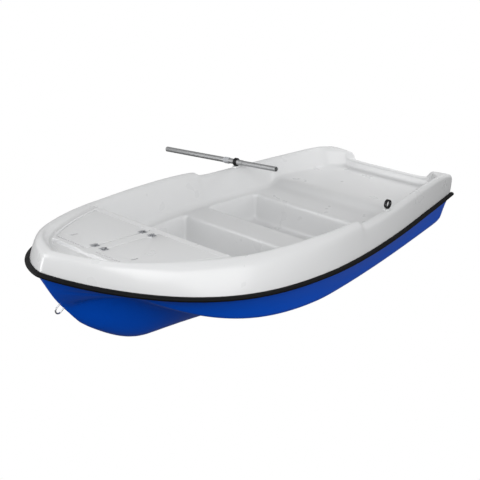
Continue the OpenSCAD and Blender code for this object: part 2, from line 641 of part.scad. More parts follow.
module at_ring() { translate([0, 0, ring_z]) rotate([90, 0, 0]) children(); }
module oarlock(side) {
    at_lock(side) {
        difference() {
            union() {
                at_ring() cylinder(r = ring_r + ring_wall, h = ring_width, center = true);
                translate([0, 0, lock_base + flange_thick + joint_gap])
                    cylinder(r = lock_pin_r + 4, h = ring_wall);
            }
            at_ring() cylinder(r = ring_r, h = 2 * ring_width, center = true);
            at_ring() rotate([0, 90, 0]) cylinder(r = trunnion_r + run_gap, h = 4 * ring_r, center = true);
        }
        translate([0, 0, lock_base + flange_thick - lock_pin_length])
            cylinder(r = lock_pin_r, h = lock_pin_length + ring_wall / 2);
    }
}
module oarlock_port() { color(black) oarlock(1); }
module oarlock_starboard() { color(black) oarlock(-1); }

// Oar: two tubes, the inner one pushed into the outer one, turning in a ball collar on two pins in the lock
inner_r = oar_r - oar_wall - run_gap;
blade_socket_r = oar_r - oar_wall + joint_gap;
overlap = 60;
collar_half = 24;
ferrule_length = 46;
ferrule_gap = 38;
module oar_ball_collar() {
    color(black) at_oar() difference() {
        union() {
            intersection() {
                sphere(r = ball_r);
                cube([80, 80, 2 * collar_half], center = true);
            }
            rotate([0, 90, 0]) cylinder(r = trunnion_r, h = 2 * (ring_r + ring_wall) - 1, center = true);
        }
        translate([0, 0, -collar_half - 10]) cylinder(r = oar_r + run_gap, h = 2 * collar_half + 20);
    }
}
module oar_outer_tube() {
    color(alloy) at_oar() translate([0, 0, -overlap]) difference() {
        cylinder(r = oar_r, h = oar_out + overlap);
        translate([0, 0, -1]) cylinder(r = oar_r - oar_wall, h = oar_out + overlap + 2);
        translate([0, 0, oar_out + overlap - blade_socket])
            cylinder(r = blade_socket_r, h = blade_socket + 1);
    }
}
module oar_inner_tube() {
    color(alloy) at_oar() translate([0, 0, -oar_in]) difference() {
        cylinder(r = inner_r, h = oar_in);
        translate([0, 0, -1]) cylinder(r = inner_r - oar_wall, h = oar_in + 2);
    }
}
module oar_ferrule() {
    color("#c9ccd0") at_oar() translate([0, 0, collar_half + ferrule_gap]) difference() {
        union() {
            cylinder(r = oar_r + 2, h = ferrule_length);
            for (k = [0:3]) translate([0, 0, 4 + k * 10]) cylinder(r = oar_r + 4, h = 5);
        }
        translate([0, 0, -1]) cylinder(r = oar_r + run_gap, h = ferrule_length + 2);
    }
}

// Transom fittings
pad_low = 190;
pad_height = 150;
bolt_r = 3;
bolt_head_r = 6;
bolt_head = 4;
head_seat = joint_gap + pad_thick - bolt_head - 1;
module pad_places() {
    for (u = [-1, 1]) for (v = [0.2, 0.8]) translate([u * 0.42 * pad_width, v * pad_height, 0]) children();
}
module transom_pad() {
    color(black) at_transom(pad_low) difference() {
        translate([-pad_width / 2, 0, joint_gap]) cube([pad_width, pad_height, pad_thick]);
        pad_places() cylinder(r = bolt_r + joint_gap, h = 3 * pad_thick);
        pad_places() translate([0, 0, head_seat]) cylinder(r = bolt_head_r + joint_gap, h = pad_thick);
    }
}
module transom_pad_bolts() {
    color(steel) at_transom(pad_low) pad_places() {
        translate([0, 0, joint_gap]) cylinder(r = bolt_r, h = head_seat);
        translate([0, 0, head_seat + joint_gap / 2]) cylinder(r = bolt_head_r, h = bolt_head);
    }
}
flange_depth = 4;
seal_thick = 2;
plug_head = 6;
flange_wall = 3;
plug_seat = flange_depth + seal_thick + 0.1;
module drain_flange() {
    color(black) at_transom(drain_height) difference() {
        union() {
            translate([0, 0, joint_gap]) cylinder(r = drain_r, h = flange_depth);
            translate([0, 0, -panel_thick - 4]) cylinder(r = drain_hole_r, h = panel_thick + 5);
        }
        translate([0, 0, -30]) cylinder(r = drain_hole_r - flange_wall, h = 60);
    }
}
module drain_plug() {
    color(black) at_transom(drain_height) {
        translate([0, 0, -panel_thick])
            cylinder(r = drain_hole_r - flange_wall - run_gap, h = panel_thick + plug_seat + 1);
        translate([0, 0, plug_seat + joint_gap]) cylinder(r = drain_hole_r + 1, h = plug_head);
    }
}
module drain_seal() {
    color("#3a3a3a") at_transom(drain_height) translate([0, 0, flange_depth + joint_gap]) difference() {
        cylinder(r = drain_hole_r + 1, h = seal_thick);
        translate([0, 0, -1]) cylinder(r = drain_hole_r - flange_wall, h = seal_thick + 2);
    }
}

// Buoyancy foam, bonded under the seats
foam_low = 125;
foam_side = 60;
foam_gap = 16;
foam_aft_length = 150;
module foam_mid_seat() {
    half = half_breadth(mid_seat_aft) - rim_lean(mid_seat_aft) - rim_width - side_slope - foam_side;
    color("#e3d9b8") translate([mid_seat_aft + foam_gap, -half, foam_low])
        cube([mid_seat_front - mid_seat_aft - 2 * foam_gap, 2 * half, seat_height - deck_wall - foam_low]);
}
module foam_aft_seat() {
    half = half_breadth(crest_x) - rim_lean(crest_x) - rim_width - side_slope - foam_side;
    color("#e3d9b8") translate([aft_seat_x - foam_gap - foam_aft_length, -half, foam_low])
        cube([foam_aft_length, 2 * half, seat_height - deck_wall - foam_low]);
}

hull_shell();
transom_panel();
transom_core();
deck_stern();
deck_aft_well();
deck_front_well();
deck_bow_port();
deck_bow_starboard();
rub_rail();
rub_rail_end_caps();
lid_port();
lid_starboard();
hinge_leaves_fixed();
hinge_leaves_port();
hinge_leaves_starboard();
hinge_pins();
hinge_screws_fixed();
hinge_screws_port();
hinge_screws_starboard();
bow_eye();
bow_eye_backing_plate();
bow_eye_nuts();
oarlock_socket_port();
oarlock_socket_starboard();
socket_screws();
oarlock_port();
oarlock_starboard();
oar_ball_collar();
oar_outer_tube();
oar_inner_tube();
oar_ferrule();
transom_pad();
transom_pad_bolts();
drain_flange();
drain_plug();
drain_seal();
foam_mid_seat();
foam_aft_seat();
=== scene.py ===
"""Looks of a small rowing dinghy: moulded hull and deck, rubber rail, hatches, oarlocks and oar."""
import math

import bpy
from bpy.props import FloatProperty, FloatVectorProperty, IntProperty, PointerProperty
from mathutils import Matrix, Vector


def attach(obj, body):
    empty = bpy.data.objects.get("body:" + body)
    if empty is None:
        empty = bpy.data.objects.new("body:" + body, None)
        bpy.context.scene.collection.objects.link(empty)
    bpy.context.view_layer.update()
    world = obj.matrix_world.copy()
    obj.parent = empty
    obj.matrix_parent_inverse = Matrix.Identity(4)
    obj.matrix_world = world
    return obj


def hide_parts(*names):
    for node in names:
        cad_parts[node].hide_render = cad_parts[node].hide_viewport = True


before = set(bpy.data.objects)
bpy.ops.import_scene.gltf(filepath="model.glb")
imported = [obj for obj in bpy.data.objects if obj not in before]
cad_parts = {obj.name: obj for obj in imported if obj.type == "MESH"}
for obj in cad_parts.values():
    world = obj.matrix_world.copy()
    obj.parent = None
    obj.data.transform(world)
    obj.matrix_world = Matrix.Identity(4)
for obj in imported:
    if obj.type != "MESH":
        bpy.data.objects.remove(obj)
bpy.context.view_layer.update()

bl_info = {
    "name": "Rowing Dinghy",
    "version": (1, 0, 0),
    "blender": (4, 5, 0),
    "location": "View3D > Sidebar > Dinghy",
    "description": "Builds a three-metre moulded rowing dinghy around its CAD frame",
    "category": "Object",
}

# Shape of the lines: powers of the plan, of the joint of hull and deck, and of the rises to the bow
BOW_FULLNESS = 2.9
BOW_ROUNDNESS = 1.4
QUARTER_POWER = 1.5
JOINT_POWER = 3.6
STEM_POWER = 1.65
SIDE_KEEL_POWER = 1.25
TUNNEL_POWER = 1.6
CHINE_POWER = 1.65

# Where the side keels, the tunnels and the chine start to rise, and how far under the joint they end
SIDE_KEEL_X, SIDE_KEEL_UNDER = -0.160, 0.060
TUNNEL_X, TUNNEL_UNDER = 0.450, 0.040
CHINE_X, CHINE_UNDER = 0.020, 0.024
TUNNEL_CLEAR = 0.030

# Curve of a tunnel: share of the way to the side keel, share of its height, and what the full bow takes off
TUNNEL_CURVE = ((0.3, 0.15, 0.10), (0.5, 0.52, 0.20), (0.72, 0.94, 0.0))
FULL_FROM = 0.200
FULL_TO = 1.050

# Points beside the side keel, on the bilge, below and above the chine, and on the topside
SHOULDER_OUT, SHOULDER_UP = 0.022, 0.25
BILGE_OUT, BILGE_UP = 0.010, 0.42
CHINE_IN, CHINE_DOWN = 0.010, 0.008
CHINE_OUT, CHINE_UP = 0.006, 0.016
TOPSIDE_OUT, TOPSIDE_UP = 0.35, 0.45
SECTION_LAST = 12

# Stations of the bow fan out from a short hub on the middle line
FAN_X = 1.225
DECK_FAN_X = 1.262
HUB_LENGTH = 0.050
STEM_X = 0.950
STEM_RISE = 0.168
STEM_SHARES = (0, 0.1, 0.2, 0.3, 0.4, 0.5, 0.6, 0.7, 0.78, 0.85, 0.91, 0.96, 1)
STEM_SLOPE, STEM_SLOPE_POWER = 0.8, 1.15
STEM_CURL, STEM_CURL_POWER = 0.2, 6
RAKE_REACH = 0.400

# Rim: lean at set places, rise to the bow, step down aft of the middle seat and drop at the stern
RIM_LEANS = ((-1.410, 0.006), (-0.543, 0.031), (0.0, 0.042), (0.700, 0.085), (1.080, 0.095), (1.520, 0.050))
RIM_RISE_X, RIM_RISE_POWER = 0.600, 1.2
DIP_LEAD, DIP_LENGTH = 0.028, 0.090
DIP_END = 0.280
QUARTER_DROP, QUARTER_LENGTH = 0.036, 0.200
RIM_ROUND = 0.006
RIM_SIDE_CURVE = ((0.6, 0.8), (0.2, 0.35))

# A corner takes at most this share of the way to the next point
CORNER_SHARE = 0.42
TINY = 1e-9


def length(name, default, description):
    """A property that holds a length in metres."""
    return FloatProperty(name=name, description=description, default=default, unit="LENGTH", precision=4)


def share(name, default, description):
    """A property that holds a share from 0 to 1."""
    return FloatProperty(name=name, description=description, default=default, min=0, max=1, subtype="FACTOR")


def colour(name, default, description):
    """A property that holds a linear colour."""
    return FloatVectorProperty(name=name, description=description, default=default, size=3, min=0, max=1,
                               subtype="COLOR")


class DinghyLines(bpy.types.PropertyGroup):
    """Lines of the hull."""
    half_beam: length("Half beam", 0.737, "Half breadth of the hull at its widest section")
    half_stern: length("Half stern", 0.500, "Half breadth of the hull at the transom")
    beam_x: length("Widest section", 0.148, "Place of the widest section")
    bow_x: length("Bow", 1.520, "Foremost point of the hull")
    stern_x: length("Stern", -1.410, "Foot of the transom")
    joint_stern: length("Joint at stern", 0.289, "Height of the joint of hull and deck at the stern")
    joint_bow: length("Joint at bow", 0.534, "Height of the joint of hull and deck at the bow")
    rake: share("Rake", 0.233, "Lean of the transom, aft for each unit up")
    hull_wall: length("Hull wall", 0.006, "Thickness of the hull")
    keel_flat: length("Keel flat", 0.035, "Half width of the flat under the middle keel")
    side_keel_stern: length("Side keel at stern", 0.330, "Middle of a side keel at the transom")
    side_keel_beam: length("Side keel amidships", 0.420, "Middle of a side keel at the widest section")
    side_keel_flat: length("Side keel flat", 0.020, "Half width of the flat under a side keel")
    tunnel_roof: length("Tunnel roof", 0.085, "Height of the tunnels between the keels")
    chine_height: length("Chine", 0.105, "Height of the chine")
    flare_stern: length("Flare at stern", 0.036, "Outward lean of the topsides at the transom")
    flare_beam: length("Flare amidships", 0.095, "Outward lean of the topsides at the widest section")
    bow_flare: share("Bow flare", 0.08, "Share by which the hull draws in under the joint round the bow")


class DinghyDeck(bpy.types.PropertyGroup):
    """Heights and edges of the deck moulding."""
    wall: length("Deck wall", 0.005, "Thickness of the deck")
    rim_height: length("Rim height", 0.513, "Height of the rim amidships")
    rim_slope: share("Rim slope", 0.042, "Rise of the rim along the boat")
    rim_bow_rise: length("Rim rise at bow", 0.062, "Extra rise of the rim at the bow")
    rim_dip: length("Rim dip", 0.042, "Step down of the rim aft of the middle seat")
    rim_width: length("Rim width", 0.040, "Width of the rim's top")
    side_slope: length("Side slope", 0.065, "Inward slope of the cockpit's side")
    gutter_slope: length("Gutter", 0.056, "Inward slope from the rim to the hatch lids")
    ledge_width: length("Ledge", 0.045, "Width of the ledge beside the footwells")
    seat_height: length("Seat height", 0.290, "Height of the seats")
    floor_height: length("Floor height", 0.105, "Height of the footwells' floor")
    floor_rise: length("Floor rise", 0.092, "Rise of the front footwell's floor")
    floor_rise_x: length("Start of floor rise", 0.360, "Where the front footwell's floor starts to rise")
    well_slope: length("Well slope", 0.025, "Slope of a footwell's wall")
    aft_seat_x: length("Aft seat", -0.591, "Front edge of the aft seat")
    mid_seat_aft: length("Middle seat, aft", -0.186, "Aft edge of the middle seat")
    mid_seat_front: length("Middle seat, front", 0.019, "Front edge of the middle seat")
    foredeck_x: length("Foredeck", 0.730, "Aft edge of the foredeck")
    foredeck_height: length("Foredeck height", 0.534, "Height of the foredeck at its aft edge")
    foredeck_slope: share("Foredeck slope", 0.066, "Rise of the foredeck along the boat")
    crest_x: length("Crest", -0.830, "Crest of the aft deck")
    crest_height: length("Crest height", 0.348, "Height of the aft deck's crest")
    well_height: length("Motor well", 0.310, "Height of the motor well at the transom")
    cutout_height: length("Cut-out", 0.365, "Height of the cut-out in the transom")
    transom_top: length("Transom top", 0.048, "Thickness of the transom at its top")
    knee_width: length("Stern corner", 0.130, "Width of the flat corners at the stern, past the rim")
    knee_length: length("Stern corner length", 0.150, "Length of the flat corners at the stern")
    bead: length("Bead", 0.006, "Height of the bead around the hatch lids")
    lid_thick: length("Lid thickness", 0.012, "Thickness of a hatch lid")
    lid_front: length("Lid front", 1.200, "Front edge of the hatch lids")
    border: length("Foredeck border", 0.040, "Width of the border around the hatch lids")
    spine_half: length("Spine", 0.0365, "Half width of the spine between the lids")
    shelf_width: length("Shelf", 0.036, "Width of the shelf under the lids' outer edge")
    locker_floor: length("Locker floor", 0.290, "Height of the bow locker's floor at its aft end")
    locker_slope: share("Locker slope", 0.3, "Rise of the bow locker's floor")
    joint_gap: length("Joint gap", 0.0003, "Gap of a fixed joint")


class DinghyFittings(bpy.types.PropertyGroup):
    """Sizes of the rail and the small fittings."""
    rail_height: length("Rail height", 0.024, "Height of the rubber rail")
    rail_out: length("Rail depth", 0.024, "How far the rubber rail stands out")
    rail_cap: length("Rail end", 0.026, "Length of the rail's end past the transom")
    lid_edge: length("Lid edge", 0.0045, "Radius of a lid's edge")
    metal_edge: length("Metal edge", 0.0004, "Radius of the edges of small metal pieces")
    plastic_edge: length("Plastic edge", 0.0016, "Radius of the edges of moulded plastic pieces")


class DinghyFinish(bpy.types.PropertyGroup):
    """Colours and wear."""
    hull_blue: colour("Hull", (0.0, 0.078, 0.56), "Gelcoat of the hull")
    deck_white: colour("Deck", (0.64, 0.645, 0.65), "Gelcoat of the deck")
    rail_black: colour("Rail", (0.003, 0.003, 0.0035), "Rubber of the rail")
    steel: colour("Steel", (0.50, 0.51, 0.53), "Stainless steel of the fittings")
    alloy: colour("Alloy", (0.42, 0.425, 0.43), "Aluminium of the oar")
    black: colour("Black plastic", (0.006, 0.006, 0.007), "Moulded black plastic")
    white: colour("White plastic", (0.72, 0.73, 0.73), "Moulded white plastic")
    ferrule: colour("Ferrule", (0.46, 0.47, 0.49), "Grey plastic of the ferrule")
    plywood: colour("Plywood", (0.42, 0.25, 0.12), "Plywood core of the transom")
    foam: colour("Foam", (0.80, 0.70, 0.45), "Buoyancy foam")
    subdivisions: IntProperty(name="Smoothing", description="Subdivision levels of the mouldings", default=2,
                              min=1, max=3)


def lines():
    return bpy.context.scene.dinghy_lines


def deck():
    return bpy.context.scene.dinghy_deck


def fittings():
    return bpy.context.scene.dinghy_fittings


def finish():
    return bpy.context.scene.dinghy_finish


def mix(a, b, t):
    return a + (b - a) * t


def clamp(t, low=0.0, high=1.0):
    return max(low, min(high, t))


def smooth(t):
    t = clamp(t)
    return t * t * (3 - 2 * t)


# Lines of the boat


def half_breadth(x):
    """Half breadth at the sheer."""
    s = lines()
    if x > s.beam_x:
        along = clamp((x - s.beam_x) / (s.bow_x - s.beam_x))
        return s.half_beam * (1 - along ** BOW_FULLNESS) ** (1 / BOW_ROUNDNESS)
    along = (s.beam_x - x) / (s.beam_x - s.stern_x)
    return s.half_beam - (s.half_beam - s.half_stern) * max(0.0, along) ** QUARTER_POWER


def joint_z(x):
    """Height of the joint of hull and deck."""
    s = lines()
    along = clamp((x - s.stern_x) / (s.bow_x - s.stern_x))
    return s.joint_stern + (s.joint_bow - s.joint_stern) * along ** JOINT_POWER


def rim_z(x):
    """Height of the rim."""
    s, d = lines(), deck()
    bow_share = max(0.0, x - RIM_RISE_X) / (s.bow_x - RIM_RISE_X)
    quarter_share = max(0.0, 1 - (x - s.stern_x) / QUARTER_LENGTH)
    dip_end = s.stern_x + DIP_END
    dip = smooth((d.mid_seat_aft + DIP_LEAD - x) / DIP_LENGTH)
    dip *= clamp((x - dip_end) / (d.mid_seat_aft - dip_end))
    return (d.rim_height + d.rim_slope * x + d.rim_bow_rise * bow_share ** RIM_RISE_POWER - d.rim_dip * dip
            - QUARTER_DROP * quarter_share ** 2)


def rim_lean(x):
    """How far the rim leans in from the sheer, as a smooth curve through its set places."""
    last = len(RIM_LEANS) - 1
    k = 0
    while k < last - 1 and x > RIM_LEANS[k + 1][0]:
        k += 1
    (x0, a), (x1, b) = RIM_LEANS[k:k + 2]
    before, after = RIM_LEANS[max(k - 1, 0)], RIM_LEANS[min(k + 2, last)]
    t = clamp((x - x0) / (x1 - x0))
    start = (b - before[1]) / (x1 - before[0]) * (x1 - x0)
    end = (after[1] - a) / (after[0] - x0) * (x1 - x0)
    return ((2 * t ** 3 - 3 * t ** 2 + 1) * a + (t ** 3 - 2 * t ** 2 + t) * start
            + (3 * t ** 2 - 2 * t ** 3) * b + (t ** 3 - t ** 2) * end)


def lid_z(x):
    """Height of the foredeck and of the lids' tops."""
    return deck().foredeck_height + deck().foredeck_slope * (x - deck().foredeck_x)


def shelf_z(x):
    """Height of the shelf under the lids."""
    d = deck()
    return lid_z(x) - d.lid_thick * math.sqrt(1 + d.foredeck_slope ** 2) - 2 * d.joint_gap


def raked(x, y, z):
    """A point leaned aft with the transom."""
    s = lines()
    return Vector((x - s.rake * z * clamp(1 - (x - s.stern_x) / RAKE_REACH), y, z))


def fan_sheer(t, start=FAN_X):
    """Place on the sheer of the bow's fan, t from 0 to 1."""
    return start + (lines().bow_x - start) * math.sin(math.pi / 2 * t)


def keel_z(x):
    """Height of the middle keel, which rises into the stem."""
    return STEM_RISE * (max(0.0, x - STEM_X) / (FAN_X + HUB_LENGTH - STEM_X)) ** STEM_POWER


def rise(x, start, power):
    """Rise from 0 at its start to 1 where the bow fans out."""
    return clamp((x - start) / (FAN_X - start)) ** power


def hull_section(x):
    """Points of the half section from the middle keel to the sheer, as (y, z)."""
    s = lines()
    b = half_breadth(x)
    grow = (b - s.half_stern) / (s.half_beam - s.half_stern)
    ahead = x > s.beam_x
    keel_y = b * s.side_keel_beam / s.half_beam if ahead else mix(s.side_keel_stern, s.side_keel_beam, grow)
    flare = b * s.flare_beam / s.half_beam if ahead else mix(s.flare_stern, s.flare_beam, grow)
    top = joint_z(x)
    keel = keel_z(x)
    side = (top - SIDE_KEEL_UNDER) * rise(x, SIDE_KEEL_X, SIDE_KEEL_POWER)
    arch = s.tunnel_roof + (top - TUNNEL_UNDER - s.tunnel_roof) * rise(x, TUNNEL_X, TUNNEL_POWER)
    roof = max(keel + TUNNEL_CLEAR, arch)
    chine = s.chine_height + (top - CHINE_UNDER - s.chine_height) * rise(x, CHINE_X, CHINE_POWER)
    chine_y = b - flare
    flat = s.side_keel_flat
    full = clamp((x - FULL_FROM) / (FULL_TO - FULL_FROM))
    tunnel = [(out * keel_y, keel + (up - off * full) * (roof - keel)) for out, up, off in TUNNEL_CURVE]
    return [(0.0, keel), (s.keel_flat, keel), *tunnel,
            (keel_y - flat - SHOULDER_OUT, side + SHOULDER_UP * max(0.0, roof - side)),
            (keel_y - flat, side), (keel_y + flat, side),
            ((keel_y + chine_y) / 2 + BILGE_OUT, side + BILGE_UP * (chine - side)),
            (chine_y - CHINE_IN, chine - CHINE_DOWN), (chine_y + CHINE_OUT, chine + CHINE_UP),
            (chine_y + TOPSIDE_OUT * flare, chine + TOPSIDE_UP * (top - chine)), (b, top)]


def stem_share(w):
    """Height on the stem as a share, at a share of the way out from the hub."""
    return STEM_SLOPE * w ** STEM_SLOPE_POWER + STEM_CURL * w ** STEM_CURL_POWER


def fan_section(t):
    """Points of one half station of the bow's fan, as vectors."""
    x = fan_sheer(t)
    hub = FAN_X + HUB_LENGTH * t
    b = half_breadth(x)
    low = keel_z(hub)
    top = joint_z(x)
    base = hull_section(FAN_X)
    base_low, base_top, base_b = keel_z(FAN_X), joint_z(FAN_X), half_breadth(FAN_X)
    points = []
    for j, (y, z) in enumerate(base):
        w = mix(y / base_b, STEM_SHARES[j], t)
        if j < SECTION_LAST:
            w *= 1 - lines().bow_flare * math.sin(math.pi * t)
        u = mix((z - base_low) / (base_top - base_low), stem_share(w), t)
        points.append(Vector((mix(hub, x, w), b * w, mix(low, top, u))))
    return points


# Mesh tools


def select_only(piece):
    """Leaves one piece selected and active."""
    bpy.ops.object.select_all(action="DESELECT")
    piece.select_set(True)
    bpy.context.view_layer.objects.active = piece


def apply_modifier(piece, kind, **values):
    """Adds a modifier, sets it and applies it."""
    select_only(piece)
    modifier = piece.modifiers.new(kind.title(), kind)
    for key, value in values.items():
        setattr(modifier, key, value)
    bpy.ops.object.modifier_apply(modifier=modifier.name)


def in_edit_mode(piece, *steps):
    """Runs mesh operators on the whole piece."""
    select_only(piece)
    bpy.ops.object.mode_set(mode="EDIT")
    bpy.ops.mesh.select_all(action="SELECT")
    for step in steps:
        step()
    bpy.ops.object.mode_set(mode="OBJECT")


def weld(distance=1e-5):
    """A step that joins points that lie together."""
    return lambda: bpy.ops.mesh.remove_doubles(threshold=distance)


def laid_grid(name, rows):
    """A grid whose rows of points lie on the given lines. All rows have the same number of points."""
    across = len(rows[0]) - 1
    along = len(rows) - 1
    bpy.ops.object.select_all(action="DESELECT")
    bpy.ops.mesh.primitive_grid_add(x_subdivisions=along, y_subdivisions=across, size=1)
    piece = bpy.context.active_object
    piece.name = name
    for v in piece.data.vertices:
        v.co = rows[round((v.co.x + 0.5) * along)][round((v.co.y + 0.5) * across)]
    return piece


def face_up(piece, up):
    """Turns the faces over if most of them don't look up, or down where up is false."""
    total = sum(p.normal.z * p.area for p in piece.data.polygons)
    if (total > 0) != up:
        in_edit_mode(piece, bpy.ops.mesh.flip_normals)


def shade(piece, degrees):
    """Smooth shading, with edges sharper than the angle kept."""
    select_only(piece)
    bpy.ops.object.shade_smooth_by_angle(angle=math.radians(degrees))


def moulding(piece, up, wall):
    """Makes a half grid the closed shell of a moulding: mirrored, smoothed and given its wall."""
    in_edit_mode(piece, weld())
    face_up(piece, up)
    apply_modifier(piece, "MIRROR", use_axis=(False, True, False), use_clip=True, merge_threshold=1e-4)
    levels = finish().subdivisions
    apply_modifier(piece, "SUBSURF", levels=levels, render_levels=levels)
    apply_modifier(piece, "SOLIDIFY", thickness=wall, offset=-1, use_even_offset=False)
    shade(piece, degrees=40)


def softened(name, node, width, segments=3, angle=30):
    """A copy of a CAD node with its flats whole and its edges rounded."""
    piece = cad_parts[node].copy()
    piece.data = piece.data.copy()
    piece.name = name
    piece.parent = None
    for key in list(piece.keys()):
        del piece[key]
    bpy.context.scene.collection.objects.link(piece)
    piece.hide_render = False
    piece.hide_viewport = False
    select_only(piece)
    bpy.ops.mesh.customdata_custom_splitnormals_clear()
    in_edit_mode(piece, weld(), lambda: bpy.ops.mesh.dissolve_limited(angle_limit=math.radians(1)))
    apply_modifier(piece, "BEVEL", width=width, segments=segments, limit_method="ANGLE",
                   angle_limit=math.radians(angle))
    shade(piece, degrees=35)
    return piece


def dress(piece, material, slot, body, *nodes):
    """Gives a piece its finish and its body, and hides the CAD nodes it stands for."""
    piece.data.materials.clear()
    piece.data.materials.append(material)
    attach(piece, body)
    if nodes:
        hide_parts(*nodes)
    return piece


def paint_node(node, material):
    """Gives a CAD node that stays as it is a better finish."""
    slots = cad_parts[node].data.materials
    slots.clear()
    slots.append(material)


# Materials


def new_material(name):
    """A new material with its node tree and its shader."""
    made = bpy.data.materials.new(name)
    made.use_nodes = True
    return made, made.node_tree, made.node_tree.nodes["Principled BSDF"]


def object_noise(tree, scale, detail, stretch=(1, 1, 1)):
    """Noise on Object coordinates, drawn out by stretch."""
    place = tree.nodes.new("ShaderNodeTexCoord")
    mapping = tree.nodes.new("ShaderNodeMapping")
    mapping.inputs["Scale"].default_value = stretch
    noise = tree.nodes.new("ShaderNodeTexNoise")
    noise.inputs["Scale"].default_value = scale
    noise.inputs["Detail"].default_value = detail
    tree.links.new(place.outputs["Object"], mapping.inputs["Vector"])
    tree.links.new(mapping.outputs["Vector"], noise.inputs["Vector"])
    return noise.outputs["Fac"]


def ramp(tree, source, low, high, start=0.35, end=0.65):
    """A ramp between two values or colours over part of a noise."""
    node = tree.nodes.new("ShaderNodeValToRGB")
    first, last = node.color_ramp.elements
    first.position, last.position = start, end
    first.color = (*low, 1) if hasattr(low, "__len__") else (low, low, low, 1)
    last.color = (*high, 1) if hasattr(high, "__len__") else (high, high, high, 1)
    tree.links.new(source, node.inputs["Fac"])
    return node.outputs["Color"]


def bump(tree, shader, source, strength, distance):
    """Relief of a shader from a noise."""
    node = tree.nodes.new("ShaderNodeBump")
    node.inputs["Strength"].default_value = strength
    node.inputs["Distance"].default_value = distance
    tree.links.new(source, node.inputs["Height"])
    tree.links.new(node.outputs["Normal"], shader.inputs["Normal"])


def tinted(base, factor):
    """A colour made lighter or darker."""
    return tuple(clamp(c * factor) for c in base)


def gelcoat(name, base, variation, gloss, coat, specular):
    """Glossy gelcoat: cloudy colour, faint ripple of the mould and fine polishing haze."""
    made, tree, shader = new_material(name)
    shader.inputs["Specular IOR Level"].default_value = specular
    shader.inputs["Coat Weight"].default_value = coat
    shader.inputs["Coat Roughness"].default_value = 0.15
    cloud = object_noise(tree, scale=1.6, detail=2)
    cloudy = ramp(tree, cloud, tinted(base, 1 - variation), tinted(base, 1 + variation), start=0.2, end=0.8)
    tree.links.new(cloudy, shader.inputs["Base Color"])
    haze = object_noise(tree, scale=6, detail=3)
    tree.links.new(ramp(tree, haze, gloss, gloss + 0.06, start=0.2, end=0.8), shader.inputs["Roughness"])
    ripple = object_noise(tree, scale=9, detail=2)
    bump(tree, shader, ripple, strength=0.08, distance=0.002)
    return made


def brushed_metal(name, base, roughness, stretch):
    """Drawn or brushed metal, with fine lines along one direction."""
    made, tree, shader = new_material(name)
    shader.inputs["Metallic"].default_value = 1.0
    drawn = object_noise(tree, scale=90, detail=4, stretch=stretch)
    streaks = ramp(tree, drawn, tinted(base, 0.86), tinted(base, 1.10), start=0.25, end=0.75)
    tree.links.new(streaks, shader.inputs["Base Color"])
    tree.links.new(ramp(tree, drawn, roughness, roughness + 0.14), shader.inputs["Roughness"])
    bump(tree, shader, drawn, strength=0.08, distance=0.0004)
    return made


def moulded_plastic(name, base, roughness, grain, specular=0.5):
    """Moulded plastic or rubber with a fine grain and dull scuffs."""
    made, tree, shader = new_material(name)
    shader.inputs["Specular IOR Level"].default_value = specular
    scuff = object_noise(tree, scale=26, detail=6)
    scuffed = tuple(clamp(c * 1.25 + 0.003) for c in base)
    tree.links.new(ramp(tree, scuff, base, scuffed, start=0.45, end=0.8), shader.inputs["Base Color"])
    tree.links.new(ramp(tree, scuff, roughness, roughness + 0.16), shader.inputs["Roughness"])
    bump(tree, shader, object_noise(tree, scale=900, detail=2), strength=grain, distance=0.0003)
    return made


def plywood_core(name, base):
    """Plywood with its grain along the sheet."""
    made, tree, shader = new_material(name)
    shader.inputs["Roughness"].default_value = 0.7
    grain = object_noise(tree, scale=6, detail=8, stretch=(12, 1, 12))
    grained = ramp(tree, grain, tinted(base, 0.6), tinted(base, 1.25), start=0.3, end=0.7)
    tree.links.new(grained, shader.inputs["Base Color"])
    bump(tree, shader, grain, strength=0.2, distance=0.0006)
    return made


def foam_block(name, base):
    """Closed-cell foam with small pores."""
    made, tree, shader = new_material(name)
    shader.inputs["Roughness"].default_value = 0.9
    place = tree.nodes.new("ShaderNodeTexCoord")
    cells = tree.nodes.new("ShaderNodeTexVoronoi")
    cells.inputs["Scale"].default_value = 320
    tree.links.new(place.outputs["Object"], cells.inputs["Vector"])
    pores = cells.outputs["Distance"]
    tree.links.new(ramp(tree, pores, tinted(base, 0.8), tinted(base, 1.1), start=0.1, end=0.8),
                   shader.inputs["Base Color"])
    bump(tree, shader, pores, strength=0.4, distance=0.001)
    return made


def material(name):
    """One of the boat's finishes, made once."""
    found = bpy.data.materials.get(name)
    if found:
        return found
    f = finish()
    along_y = (1, 6, 1)
    along_oar = (8, 0.6, 8)
    makers = {
        "blue_gelcoat": lambda: gelcoat(name, f.hull_blue, variation=0.05, gloss=0.28, coat=0.03,
                                        specular=0.06),
        "white_gelcoat": lambda: gelcoat(name, f.deck_white, variation=0.02, gloss=0.26, coat=0.25,
                                         specular=0.5),
        "rail_rubber": lambda: moulded_plastic(name, f.rail_black, roughness=0.55, grain=0.10, specular=0.12),
        "stainless": lambda: brushed_metal(name, f.steel, roughness=0.22, stretch=along_y),
        "drawn_alloy": lambda: brushed_metal(name, f.alloy, roughness=0.55, stretch=along_oar),
        "black_nylon": lambda: moulded_plastic(name, f.black, roughness=0.40, grain=0.12, specular=0.25),
        "white_nylon": lambda: moulded_plastic(name, f.white, roughness=0.40, grain=0.10),
        "grey_ferrule": lambda: moulded_plastic(name, f.ferrule, roughness=0.40, grain=0.10),
        "plywood_core": lambda: plywood_core(name, f.plywood),
        "foam_block": lambda: foam_block(name, f.foam),
    }
    return makers[name]()


# Hull


